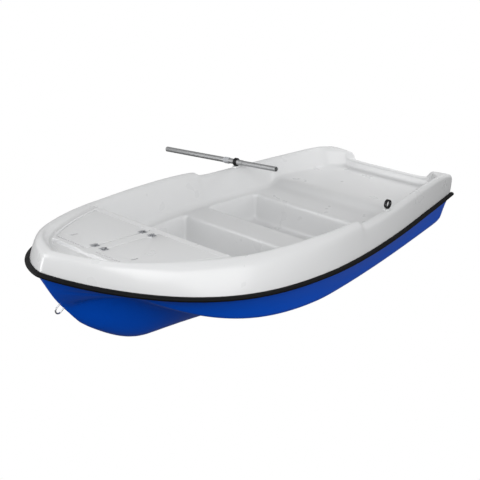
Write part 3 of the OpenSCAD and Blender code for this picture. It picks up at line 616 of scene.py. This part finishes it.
def rounded(points, radii):
    """A line of points with each corner of a set radius replaced by two points beside it."""
    out = [points[0]]
    for k in range(1, len(points) - 1):
        p, r = points[k], radii[k]
        if r <= 0:
            out.append(p)
            continue
        for q in (points[k - 1], points[k + 1]):
            gap = (q - p).length
            out.append(p + (q - p) * (min(r, CORNER_SHARE * gap) / gap if gap > TINY else 0))
    out.append(points[-1])
    return out


HULL_RADII = (0, 0.012, 0, 0, 0, 0.008, 0.008, 0.010, 0, 0.008, 0.008, 0, 0)
HULL_FAN_STEPS = 16
HULL_STEP = 0.055
HULL_END_STEP = 0.060
TRANSOM_EDGE = 0.014
TRANSOM_EDGE_SHARE = 0.4
TRANSOM_ROWS = (1.0, 0.75, 0.5, 0.25)


def closed_at_bow(rows):
    """The same rows, with the last one laid on the middle line."""
    tip = [Vector((p.x, 0, p.z)) for p in rows[-1]]
    tip[0] = tip[1].copy()
    return rows[:-1] + [tip]


def hull_rows():
    """Half stations of the hull from the transom's top edge to the stem."""
    s = lines()
    stern = rounded([raked(s.stern_x, y, z) for y, z in hull_section(s.stern_x)], HULL_RADII)
    last = len(stern) - 1
    top = [raked(s.stern_x, s.half_stern * k / last, s.joint_stern) for k in range(last + 1)]
    rows = [[a.lerp(b, part) for a, b in zip(stern, top)] for part in TRANSOM_ROWS]
    edge_row = []
    for a, b in zip(stern, top):
        wide = (b - a).length > 2 * TRANSOM_EDGE
        edge_row.append(a + (b - a).normalized() * TRANSOM_EDGE if wide else a.lerp(b, TRANSOM_EDGE_SHARE))
    rows.append(edge_row)
    places = [s.stern_x + TRANSOM_EDGE, s.stern_x + HULL_END_STEP]
    while places[-1] < FAN_X - HULL_END_STEP:
        places.append(places[-1] + HULL_STEP)
    places.append(FAN_X)
    for x in places:
        rows.append(rounded([raked(x, y, z) for y, z in hull_section(x)], HULL_RADII))
    for k in range(1, HULL_FAN_STEPS + 1):
        rows.append(rounded(fan_section(k / HULL_FAN_STEPS), HULL_RADII))
    return closed_at_bow(rows)


class DINGHY_OT_hull(bpy.types.Operator):
    """Lays the three-keeled hull on its lines, with the transom closed"""
    bl_idname = "dinghy.hull"
    bl_label = "Hull"

    def execute(self, context):
        piece = laid_grid("hull_skin", hull_rows())
        moulding(piece, False, lines().hull_wall)
        dress(piece, material("blue_gelcoat"), "hull_blue", "hull", "hull_shell", "transom_panel")
        return {"FINISHED"}


# Deck


# Places along the deck where its flats and slopes have a station
MOTOR_WELL_XS = (-1.27, -1.22, -1.16, -1.08, -1.00, -0.93)
AFT_SEAT_MIDDLE = -0.690
AFT_WELL_XS = (-0.47, -0.30)
MID_SEAT_MIDDLE = -0.08
FRONT_WELL_XS = (0.14, 0.25)
FLOOR_RISE_XS = (0.45, 0.55, 0.63)
LOCKER_XS = (0.87, 0.95, 1.03, 1.10)

# Steps along and across the deck
TRANSOM_STEP = 0.001
COVE = 0.049
SHELF_STEP = 0.002
LOCKER_STEP = 0.014
LID_GAP = 0.0008

# Radii of its corners along the boat
TRANSOM_OUTER, TRANSOM_INNER, MOTOR_WELL_FOOT = 0.010, 0.006, 0.012
CREST_RADIUS, COVE_RADIUS = 0.026, 0.024
SEAT_EDGE, WELL_FOOT, FLOOR_BEND = 0.012, 0.018, 0.030
LOCKER_EDGE, SHELF_EDGE = 0.008, 0.003

# Bead on the foredeck's aft edge, as place, height and radius, and places of the bead ahead of the lids
EDGE_BEAD = ((0.0, 0.004, 0.008), (0.018, 0.004, 0.004), (0.026, 0, 0))
FRONT_BEAD = 0.024
FRONT_BEAD_AFT, FRONT_BEAD_TOP, FRONT_BEAD_FORE = 0.004, 0.010, 0.016

# Gutter from the lids out to the rim: a bead, then a channel
BEAD_FROM, BEAD_TO = 0.003, 0.011
CHANNEL_FROM, CHANNEL_TO, CHANNEL_RISE = 0.018, 0.014, 0.002
BAND_SHARE = 0.2

# Towards the stern the cockpit's sides flow into the motor well
FLOW_X, FLOW_LENGTH = -0.86, 0.2
FLOW_LEDGE = 0.15
KNEE_STEEP = 0.5

# Radii of the corners across the deck, from the middle line to the sheer
DECK_RADII = (0, 0.004, 0.008, 0.016, 0.010, 0.022, 0, 0, 0, 0, 0.013, 0, 0.015, 0, 0, 0)
FOOT, INNER = 5, 10
STERN_FOOT, STERN_INNER = 0.075, 0.010
FOREDECK_FOOT, FOREDECK_INNER = 0.003, 0.008
DECK_FAN_STEPS = 14
SKIRT_SHARE = 0.45
DECK_NODES = ("deck_stern", "deck_aft_well", "deck_front_well", "deck_bow_port", "deck_bow_starboard")


def deck_stations():
    """Stations of the deck: place, heights of middle, well and ledge, share of foredeck, corner radius."""
    s, d = lines(), deck()
    seat, low = d.seat_height, d.floor_height
    foot = s.stern_x + d.transom_top + TRANSOM_STEP
    cockpit = d.foredeck_x - d.well_slope
    shelf_aft = d.foredeck_x + d.border + SHELF_STEP
    locker_front = d.lid_front - d.border
    gap_end = d.lid_front + LID_GAP
    bead_x = DECK_FAN_X - FRONT_BEAD

    def flat(x, z, radius=0.0):
        return (x, z, z, z, 0.0, radius)

    def well(x, z, radius=0.0):
        return (x, z, z, seat, 0.0, radius)

    def locker(x, radius=0.0):
        return (x, lid_z(x), d.locker_floor + d.locker_slope * (x - d.foredeck_x), shelf_z(x), 1.0, radius)

    def shelf(x, radius=0.0):
        return (x, lid_z(x), shelf_z(x), shelf_z(x), 1.0, radius)

    def motor_well(x):
        return mix(d.well_height, d.crest_height, (x - foot) / (d.crest_x - foot))

    def front_floor(x):
        return low + d.floor_rise * (x - d.floor_rise_x) / (cockpit - d.floor_rise_x)

    rows = [flat(s.stern_x, d.cutout_height, TRANSOM_OUTER),
            flat(s.stern_x + d.transom_top, d.cutout_height, TRANSOM_INNER),
            flat(foot, d.well_height, MOTOR_WELL_FOOT)]
    rows += [flat(x, motor_well(x)) for x in MOTOR_WELL_XS]
    rows += [flat(d.crest_x, d.crest_height, CREST_RADIUS), flat(d.crest_x + COVE, seat, COVE_RADIUS),
             flat(AFT_SEAT_MIDDLE, seat), flat(d.aft_seat_x, seat, SEAT_EDGE)]
    rows.append(well(d.aft_seat_x + d.well_slope, low, WELL_FOOT))
    rows += [well(x, low) for x in AFT_WELL_XS]
    rows.append(well(d.mid_seat_aft - d.well_slope, low, WELL_FOOT))
    rows += [flat(d.mid_seat_aft, seat, SEAT_EDGE), flat(MID_SEAT_MIDDLE, seat),
             flat(d.mid_seat_front, seat, SEAT_EDGE)]
    rows.append(well(d.mid_seat_front + d.well_slope, low, WELL_FOOT))
    rows += [well(x, low) for x in FRONT_WELL_XS]
    rows.append(well(d.floor_rise_x, low, FLOOR_BEND))
    rows += [well(x, front_floor(x)) for x in FLOOR_RISE_XS]
    rows.append(well(cockpit, low + d.floor_rise, WELL_FOOT))
    for ahead, up, radius in EDGE_BEAD + ((d.border, 0, SHELF_EDGE),):
        x = d.foredeck_x + ahead
        rows.append((x, lid_z(x) + up, lid_z(x) + up, lid_z(x) + up, 1.0, radius))
    rows += [shelf(shelf_aft), locker(shelf_aft + LOCKER_STEP, LOCKER_EDGE)]
    rows += [locker(x) for x in LOCKER_XS]
    rows += [locker(locker_front, LOCKER_EDGE), shelf(locker_front + LOCKER_STEP, SHELF_EDGE), shelf(gap_end)]
    for x, up in ((gap_end + SHELF_STEP, 0), (bead_x - FRONT_BEAD_AFT, 0),
                  (bead_x, d.bead), (bead_x + FRONT_BEAD_TOP, d.bead)):
        rows.append((x, lid_z(x), lid_z(x) + up, lid_z(x) + up, 1.0, 0.0))
    for x in (bead_x + FRONT_BEAD_FORE, DECK_FAN_X):
        rows.append((x, shelf_z(x), shelf_z(x), shelf_z(x), 1.0, 0.0))
    return rows


def stern_flow(x):
    """Share by which the cockpit's sides flow into the motor well."""
    return smooth((FLOW_X - x) / FLOW_LENGTH)


def gutter_bands(x, foot, inner, ledge, fore):
    """Points from foot to rim: a bead beside the lids and a channel under the rim, or a plain slope aft."""
    top = lid_z(x)
    crown = top + deck().bead
    under_rim = rim_z(x) - RIM_ROUND
    gutter = ((foot - BEAD_FROM, crown), (foot - BEAD_TO, crown), (foot - CHANNEL_FROM, top),
              (inner + CHANNEL_TO, top + CHANNEL_RISE))
    bands = []
    for k, (a, z) in enumerate(gutter):
        part = BAND_SHARE * (k + 1)
        bands.append((mix(mix(foot, inner, part), a, fore), mix(mix(ledge, under_rim, part), z, fore)))
    return bands


def rim_points(x, inner):
    """Points over the rim and down to the joint, as distances in from the sheer and heights."""
    z0, z1, lean = joint_z(x), rim_z(x), rim_lean(x)
    crown = lean + deck().rim_width / 2
    side = [(out * lean, z0 + up * (z1 - z0)) for out, up in RIM_SIDE_CURVE]
    return [(inner, z1 - RIM_ROUND), (crown, z1), (lean, z1 - RIM_ROUND), *side, (0, z0)]


def deck_line(x, middle, low, ledge, fore):
    """Corner points of one square half station of the deck, from the middle line to the sheer."""
    d = deck()
    b = half_breadth(x)
    knee = clamp(1 - (x - lines().stern_x) / d.knee_length)
    inner = rim_lean(x) + d.rim_width + d.knee_width * knee
    foot = inner + mix(d.side_slope * (1 - KNEE_STEEP * knee), d.gutter_slope, fore)
    edge = foot + mix(mix(d.ledge_width, d.shelf_width, fore), FLOW_LEDGE, stern_flow(x))
    side_step = SHELF_STEP if fore > 0.5 and low == ledge else LOCKER_STEP
    points = [(b, middle), (b - d.spine_half, middle), (b - d.spine_half - side_step, low),
              (edge + d.well_slope, low), (edge, ledge), (foot, ledge)]
    points += gutter_bands(x, foot, inner, ledge, fore) + rim_points(x, inner)
    return [raked(x, b - a, z + d.joint_gap) for a, z in points]


def deck_radii(x):
    """Corner radii across a station: small on the foredeck, wide where the sides flow into the motor well."""
    radii = list(DECK_RADII)
    if x >= deck().foredeck_x:
        radii[FOOT], radii[INNER] = FOREDECK_FOOT, FOREDECK_INNER
        return radii
    flow = stern_flow(x)
    radii[FOOT] = mix(radii[FOOT], STERN_FOOT, flow)
    radii[INNER] = mix(radii[INNER], STERN_INNER, flow)
    return radii


def fan_deck_line(t):
    """Corner points of one half station of the deck's bow fan."""
    d = deck()
    x = fan_sheer(t, DECK_FAN_X)
    hub = DECK_FAN_X + HUB_LENGTH * t
    b = half_breadth(x)
    span = math.hypot(x - hub, b)
    inner = rim_lean(x) + d.rim_width
    foot = inner + d.gutter_slope
    shelf = shelf_z(x)
    points = [(foot + (span - foot) * (1 - BAND_SHARE * k), shelf) for k in range(FOOT)] + [(foot, shelf)]
    points += gutter_bands(x, foot, inner, shelf, 1.0) + rim_points(x, inner)
    line = []
    for a, z in points:
        w = 1 - a / span
        line.append(Vector((mix(hub, x, w), b * w, z + d.joint_gap)))
    return line


def deck_rows():
    """Half stations of the deck from the transom's outer edge to the bow."""
    s, d = lines(), deck()
    stations = deck_stations()
    rows = []

    def add(x, values, drop=None):
        line = deck_line(x, *values)
        if drop is not None:
            line = [raked(x, p.y, mix(s.joint_stern + d.joint_gap, p.z, drop)) for p in line]
        rows.append(rounded(line, deck_radii(x)))

    first = stations[0]
    add(first[0], first[1:5], 0.0)
    add(first[0], first[1:5], SKIRT_SHARE)
    add(first[0], first[1:5], 1 - first[5] / (d.cutout_height - s.joint_stern))
    for k, (x, middle, low, ledge, fore, radius) in enumerate(stations):
        here = (middle, low, ledge, fore)
        if radius <= 0:
            add(x, here)
            continue
        for side in (-1, 1):
            if not 0 <= k + side < len(stations):
                continue
            near = stations[k + side]
            drop = max(abs(near[i] - (x, middle, low, ledge)[i]) for i in (1, 2, 3))
            gap = math.hypot(near[0] - x, drop)
            part = min(radius, CORNER_SHARE * gap) / gap
            add(mix(x, near[0], part), [mix(a, b, part) for a, b in zip(here, near[1:5])])
    for k in range(1, DECK_FAN_STEPS + 1):
        rows.append(rounded(fan_deck_line(k / DECK_FAN_STEPS), deck_radii(DECK_FAN_X)))
    return closed_at_bow(rows)


class DINGHY_OT_deck(bpy.types.Operator):
    """Lays the moulded deck with its seats, footwells, lockers and motor well"""
    bl_idname = "dinghy.deck"
    bl_label = "Deck"

    def execute(self, context):
        piece = laid_grid("deck_skin", deck_rows())
        moulding(piece, True, deck().wall)
        dress(piece, material("white_gelcoat"), "deck_white", "hull", *DECK_NODES)
        return {"FINISHED"}


# Rail


RAIL_POINTS = 36
RAIL_FULLNESS = 0.6
GROOVES = (-0.0055, 0.0055)
GROOVE_WIDTH, GROOVE_DEPTH = 0.0009, 0.0010
RAIL_STATIONS = 70
RAIL_FAN_STATIONS = 30
RAIL_CAP_STEPS = 6
RAIL_CAP_FULLNESS = 0.7


def rail_profile():
    """Section of the rubber rail as (out, up): a D with two shallow grooves, closed along the hull."""
    f = fittings()
    points = []
    for k in range(RAIL_POINTS + 1):
        a = math.pi * (k / RAIL_POINTS - 0.5)
        out = f.rail_out * max(0.0, math.cos(a)) ** RAIL_FULLNESS
        up = f.rail_height / 2 * math.sin(a)
        groove = max(math.exp(-((up - g) / GROOVE_WIDTH) ** 2) for g in GROOVES)
        points.append((max(0.0, out - GROOVE_DEPTH * groove), up))
    points[0] = (0.0, -f.rail_height / 2)
    points[-1] = (0.0, f.rail_height / 2)
    points.append(points[0])
    return points


def rail_rows():
    """Sections of the rail from the port end round the bow to the starboard end."""
    s, f, gap = lines(), fittings(), deck().joint_gap
    places = [s.stern_x + (FAN_X - s.stern_x) * k / RAIL_STATIONS for k in range(RAIL_STATIONS + 1)]
    places += [fan_sheer(k / RAIL_FAN_STATIONS) for k in range(1, RAIL_FAN_STATIONS)]
    port = []
    for k, x in enumerate(places):
        before = places[max(k - 1, 0)]
        after = places[k + 1] if k + 1 < len(places) else s.bow_x
        run = Vector((after - before, half_breadth(after) - half_breadth(before)))
        run.normalize()
        port.append((raked(x, half_breadth(x), joint_z(x)), Vector((-run.y, run.x, 0)), 1.0))
    end, normal, _ = port[0]
    aft = Vector((-normal.y, normal.x, 0))
    caps = []
    for k in range(RAIL_CAP_STEPS + 1):
        a = math.pi / 2 * k / RAIL_CAP_STEPS
        reach = f.rail_cap * (0.5 + 0.5 * math.sin(a))
        caps.append((end + aft * reach, normal, max(0.0, math.cos(a)) ** RAIL_CAP_FULLNESS))
    port = caps[::-1] + port
    tip = [(Vector((s.bow_x, 0, s.joint_bow)), Vector((1, 0, 0)), 1.0)]
    starboard = [(Vector((p.x, -p.y, p.z)), Vector((n.x, -n.y, 0)), size) for p, n, size in port[::-1]]
    profile = rail_profile()
    rows = []
    for p, n, size in port + tip + starboard:
        rows.append([p + n * (gap + out * size) + Vector((0, 0, up * size)) for out, up in profile])
    return rows


class DINGHY_OT_rail(bpy.types.Operator):
    """Runs the rubber rail round the joint of hull and deck"""
    bl_idname = "dinghy.rail"
    bl_label = "Rubber rail"

    def execute(self, context):
        piece = laid_grid("rubber_rail", rail_rows())
        in_edit_mode(piece, weld(), lambda: bpy.ops.mesh.normals_make_consistent(inside=False))
        shade(piece, degrees=50)
        dress(piece, material("rail_rubber"), "rail_black", "hull", "rub_rail", "rub_rail_end_caps")
        return {"FINISHED"}


# Hatches


SIDES = ("port", "starboard")


def fitted(name, node, edge, look, slot, body, segments=3):
    """Stands a softened and finished piece in for one CAD node."""
    return dress(softened(name, node, edge, segments), material(look), slot, body, node)


class DINGHY_OT_hatches(bpy.types.Operator):
    """Rounds the hatch lids and their hinges"""
    bl_idname = "dinghy.hatches"
    bl_label = "Hatches"

    def execute(self, context):
        f = fittings()
        for side in SIDES:
            body = "lid_" + side
            fitted("hatch_lid_" + side, body, f.lid_edge, "white_gelcoat", "deck_white", body, segments=4)
            leaves, screws = "hinge_leaves_" + side, "hinge_screws_" + side
            fitted("lid_hinges_" + side, leaves, f.metal_edge, "stainless", "steel", body, segments=2)
            fitted("lid_screws_" + side, screws, f.metal_edge, "stainless", "steel", body, segments=2)
        fitted("spine_hinges", "hinge_leaves_fixed", f.metal_edge, "stainless", "steel", "hull", segments=2)
        fitted("spine_screws", "hinge_screws_fixed", f.metal_edge, "stainless", "steel", "hull", segments=2)
        paint_node("hinge_pins", material("stainless"))
        return {"FINISHED"}


# Oarlocks and oar


class DINGHY_OT_oarlocks(bpy.types.Operator):
    """Rounds the oarlocks and their sockets"""
    bl_idname = "dinghy.oarlocks"
    bl_label = "Oarlocks"

    def execute(self, context):
        f = fittings()
        for side in SIDES:
            socket, lock = "oarlock_socket_" + side, "oarlock_" + side
            fitted("lock_socket_" + side, socket, f.plastic_edge, "white_nylon", "socket_white", "hull")
            fitted("lock_ring_" + side, lock, f.plastic_edge, "black_nylon", "black_plastic", lock)
        fitted("lock_screws", "socket_screws", f.metal_edge, "stainless", "steel", "hull", segments=2)
        return {"FINISHED"}


class DINGHY_OT_oar(bpy.types.Operator):
    """Finishes the oar's tubes, ferrule and ball collar"""
    bl_idname = "dinghy.oar"
    bl_label = "Oar"

    def execute(self, context):
        f = fittings()
        fine_edge = f.plastic_edge / 2
        fitted("ball_collar", "oar_ball_collar", fine_edge, "black_nylon", "black_plastic", "oar_collar")
        fitted("ribbed_ferrule", "oar_ferrule", fine_edge, "grey_ferrule", "ferrule_grey", "oar")
        for tube in ("outer_tube", "inner_tube"):
            fitted(tube, "oar_" + tube, f.metal_edge, "drawn_alloy", "alloy", "oar", segments=2)
        return {"FINISHED"}


# Bow eye and transom fittings


class DINGHY_OT_fittings(bpy.types.Operator):
    """Finishes the bow eye, the clamp pad and the drain, and paints the pieces inside the hull"""
    bl_idname = "dinghy.fittings"
    bl_label = "Fittings"

    def execute(self, context):
        edge = fittings().plastic_edge
        for node in ("bow_eye", "bow_eye_backing_plate", "bow_eye_nuts"):
            paint_node(node, material("stainless"))
        fitted("clamp_pad", "transom_pad", edge, "black_nylon", "black_plastic", "hull")
        fitted("pad_bolts", "transom_pad_bolts", edge, "stainless", "steel", "hull")
        fitted("drain_ring", "drain_flange", edge, "black_nylon", "black_plastic", "hull")
        fitted("drain_stopper", "drain_plug", edge, "black_nylon", "black_plastic", "drain_plug")
        paint_node("drain_seal", material("rail_rubber"))
        paint_node("transom_core", material("plywood_core"))
        for node in ("foam_mid_seat", "foam_aft_seat"):
            paint_node(node, material("foam_block"))
        return {"FINISHED"}


# Stage


CAMERA_PLACE = Vector((3.889, 3.500, 2.393))
CAMERA_AIM = Vector((-0.6810, -0.6271, -0.3780))
CAMERA_UP = Vector((-0.2781, -0.2561, 0.9258))
CAMERA_LENS = 69.75
SENSOR_WIDTH = 36.0
FLOOR_SIZE = 60
PAPER_GLOW = 1.0

# Brightness of the sky at shares of the way from straight below to straight above
SKY = ((0.0, 0.12), (0.47, 0.22), (0.53, 0.74), (0.75, 0.45), (1.0, 0.28))

# Lamps: name, place, aim, size, watts, and whether glossy surfaces mirror it
LAMPS = (
    ("key_light", (3.0, -2.2, 2.5), (0.9, 0, 0.45), 2.5, 45, True),
    ("front_light", (2.6, 2.6, 2.9), (0.3, -0.2, 0.35), 3.0, 80, True),
    ("port_light", (0.2, 5.3, 2.6), (0, -0.2, 0.35), 4.0, 105, True),
    ("bow_light", (5.2, -4.6, 0.9), (1.2, -0.3, 0.4), 3.0, 130, True),
    ("stern_light", (-2.3, 0.0, 1.1), (-1.1, 0, 0.33), 0.8, 12, False),
)


def area_light(name, place, aim, size, watts, gloss):
    """A round lamp that looks from its place at its aim."""
    data = bpy.data.lights.new(name, "AREA")
    data.shape = "DISK"
    data.size = size
    data.energy = watts
    lamp = bpy.data.objects.new(name, data)
    lamp.visible_glossy = gloss
    lamp.location = place
    lamp.rotation_euler = (Vector(aim) - Vector(place)).to_track_quat("-Z", "Y").to_euler()
    bpy.context.scene.collection.objects.link(lamp)


def studio_world():
    """Soft light from all round: bright at the horizon, weaker above and dark below."""
    world = bpy.data.worlds.new("studio_light")
    world.use_nodes = True
    tree = world.node_tree
    place = tree.nodes.new("ShaderNodeTexCoord")
    parts = tree.nodes.new("ShaderNodeSeparateXYZ")
    height = tree.nodes.new("ShaderNodeMapRange")
    height.inputs["From Min"].default_value = -1
    sky = tree.nodes.new("ShaderNodeValToRGB")
    stops = sky.color_ramp.elements
    while len(stops) < len(SKY):
        stops.new(0.5)
    for stop, (at, level) in zip(stops, SKY):
        stop.position = at
        stop.color = (level, level, level, 1)
    tree.links.new(place.outputs["Generated"], parts.inputs["Vector"])
    tree.links.new(parts.outputs["Z"], height.inputs["Value"])
    tree.links.new(height.outputs["Result"], sky.inputs["Fac"])
    tree.links.new(sky.outputs["Color"], tree.nodes["Background"].inputs["Color"])
    return world


def studio_floor():
    """A wide sheet of white paper that glows and lights nothing."""
    bpy.ops.object.select_all(action="DESELECT")
    bpy.ops.mesh.primitive_grid_add(x_subdivisions=4, y_subdivisions=4, size=FLOOR_SIZE, location=(0, 0, 0))
    floor = bpy.context.active_object
    floor.name = "studio_floor"
    paper, _, shader = new_material("studio_paper")
    shader.inputs["Base Color"].default_value = (0, 0, 0, 1)
    shader.inputs["Specular IOR Level"].default_value = 0
    shader.inputs["Emission Color"].default_value = (1, 1, 1, 1)
    shader.inputs["Emission Strength"].default_value = PAPER_GLOW
    floor.data.materials.append(paper)
    floor.visible_diffuse = False
    floor.visible_glossy = False


def photo_camera():
    """A camera that sees the boat as the photograph does."""
    data = bpy.data.cameras.new("photo_view")
    data.sensor_width = SENSOR_WIDTH
    data.lens = CAMERA_LENS
    camera = bpy.data.objects.new("photo_view", data)
    right = CAMERA_AIM.cross(CAMERA_UP).normalized()
    up = right.cross(CAMERA_AIM).normalized()
    back = -CAMERA_AIM.normalized()
    turn = Matrix((right, up, back)).transposed().to_4x4()
    camera.matrix_world = Matrix.Translation(CAMERA_PLACE) @ turn
    bpy.context.scene.collection.objects.link(camera)
    return camera


class DINGHY_OT_stage(bpy.types.Operator):
    """Sets the floor, the lights and the camera"""
    bl_idname = "dinghy.stage"
    bl_label = "Stage"

    def execute(self, context):
        scene = context.scene
        studio_floor()
        scene.world = studio_world()
        for lamp in LAMPS:
            area_light(*lamp)
        scene.view_settings.view_transform = "Standard"
        scene.camera = photo_camera()
        return {"FINISHED"}


STEPS = (DINGHY_OT_stage, DINGHY_OT_hull, DINGHY_OT_deck, DINGHY_OT_rail, DINGHY_OT_hatches,
         DINGHY_OT_oarlocks, DINGHY_OT_oar, DINGHY_OT_fittings)
GROUPS = (("dinghy_lines", DinghyLines), ("dinghy_deck", DinghyDeck), ("dinghy_fittings", DinghyFittings),
          ("dinghy_finish", DinghyFinish))


class DINGHY_PT_panel(bpy.types.Panel):
    """Lists the steps and the sizes of the dinghy"""
    bl_idname = "DINGHY_PT_panel"
    bl_label = "Dinghy"
    bl_space_type = "VIEW_3D"
    bl_region_type = "UI"
    bl_category = "Dinghy"

    def draw(self, context):
        for step in STEPS:
            self.layout.operator(step.bl_idname)
        for name, group in GROUPS:
            box = self.layout.box()
            for prop in group.__annotations__:
                box.prop(getattr(context.scene, name), prop)


def register():
    for name, group in GROUPS:
        bpy.utils.register_class(group)
        setattr(bpy.types.Scene, name, PointerProperty(type=group))
    for cls in STEPS + (DINGHY_PT_panel,):
        bpy.utils.register_class(cls)


def unregister():
    for cls in (DINGHY_PT_panel,) + STEPS[::-1]:
        bpy.utils.unregister_class(cls)
    for name, group in GROUPS[::-1]:
        delattr(bpy.types.Scene, name)
        bpy.utils.unregister_class(group)


def main():
    register()
    for step in STEPS:
        group, name = step.bl_idname.split(".")
        getattr(getattr(bpy.ops, group), name)()


if __name__ == "__main__":
    main()
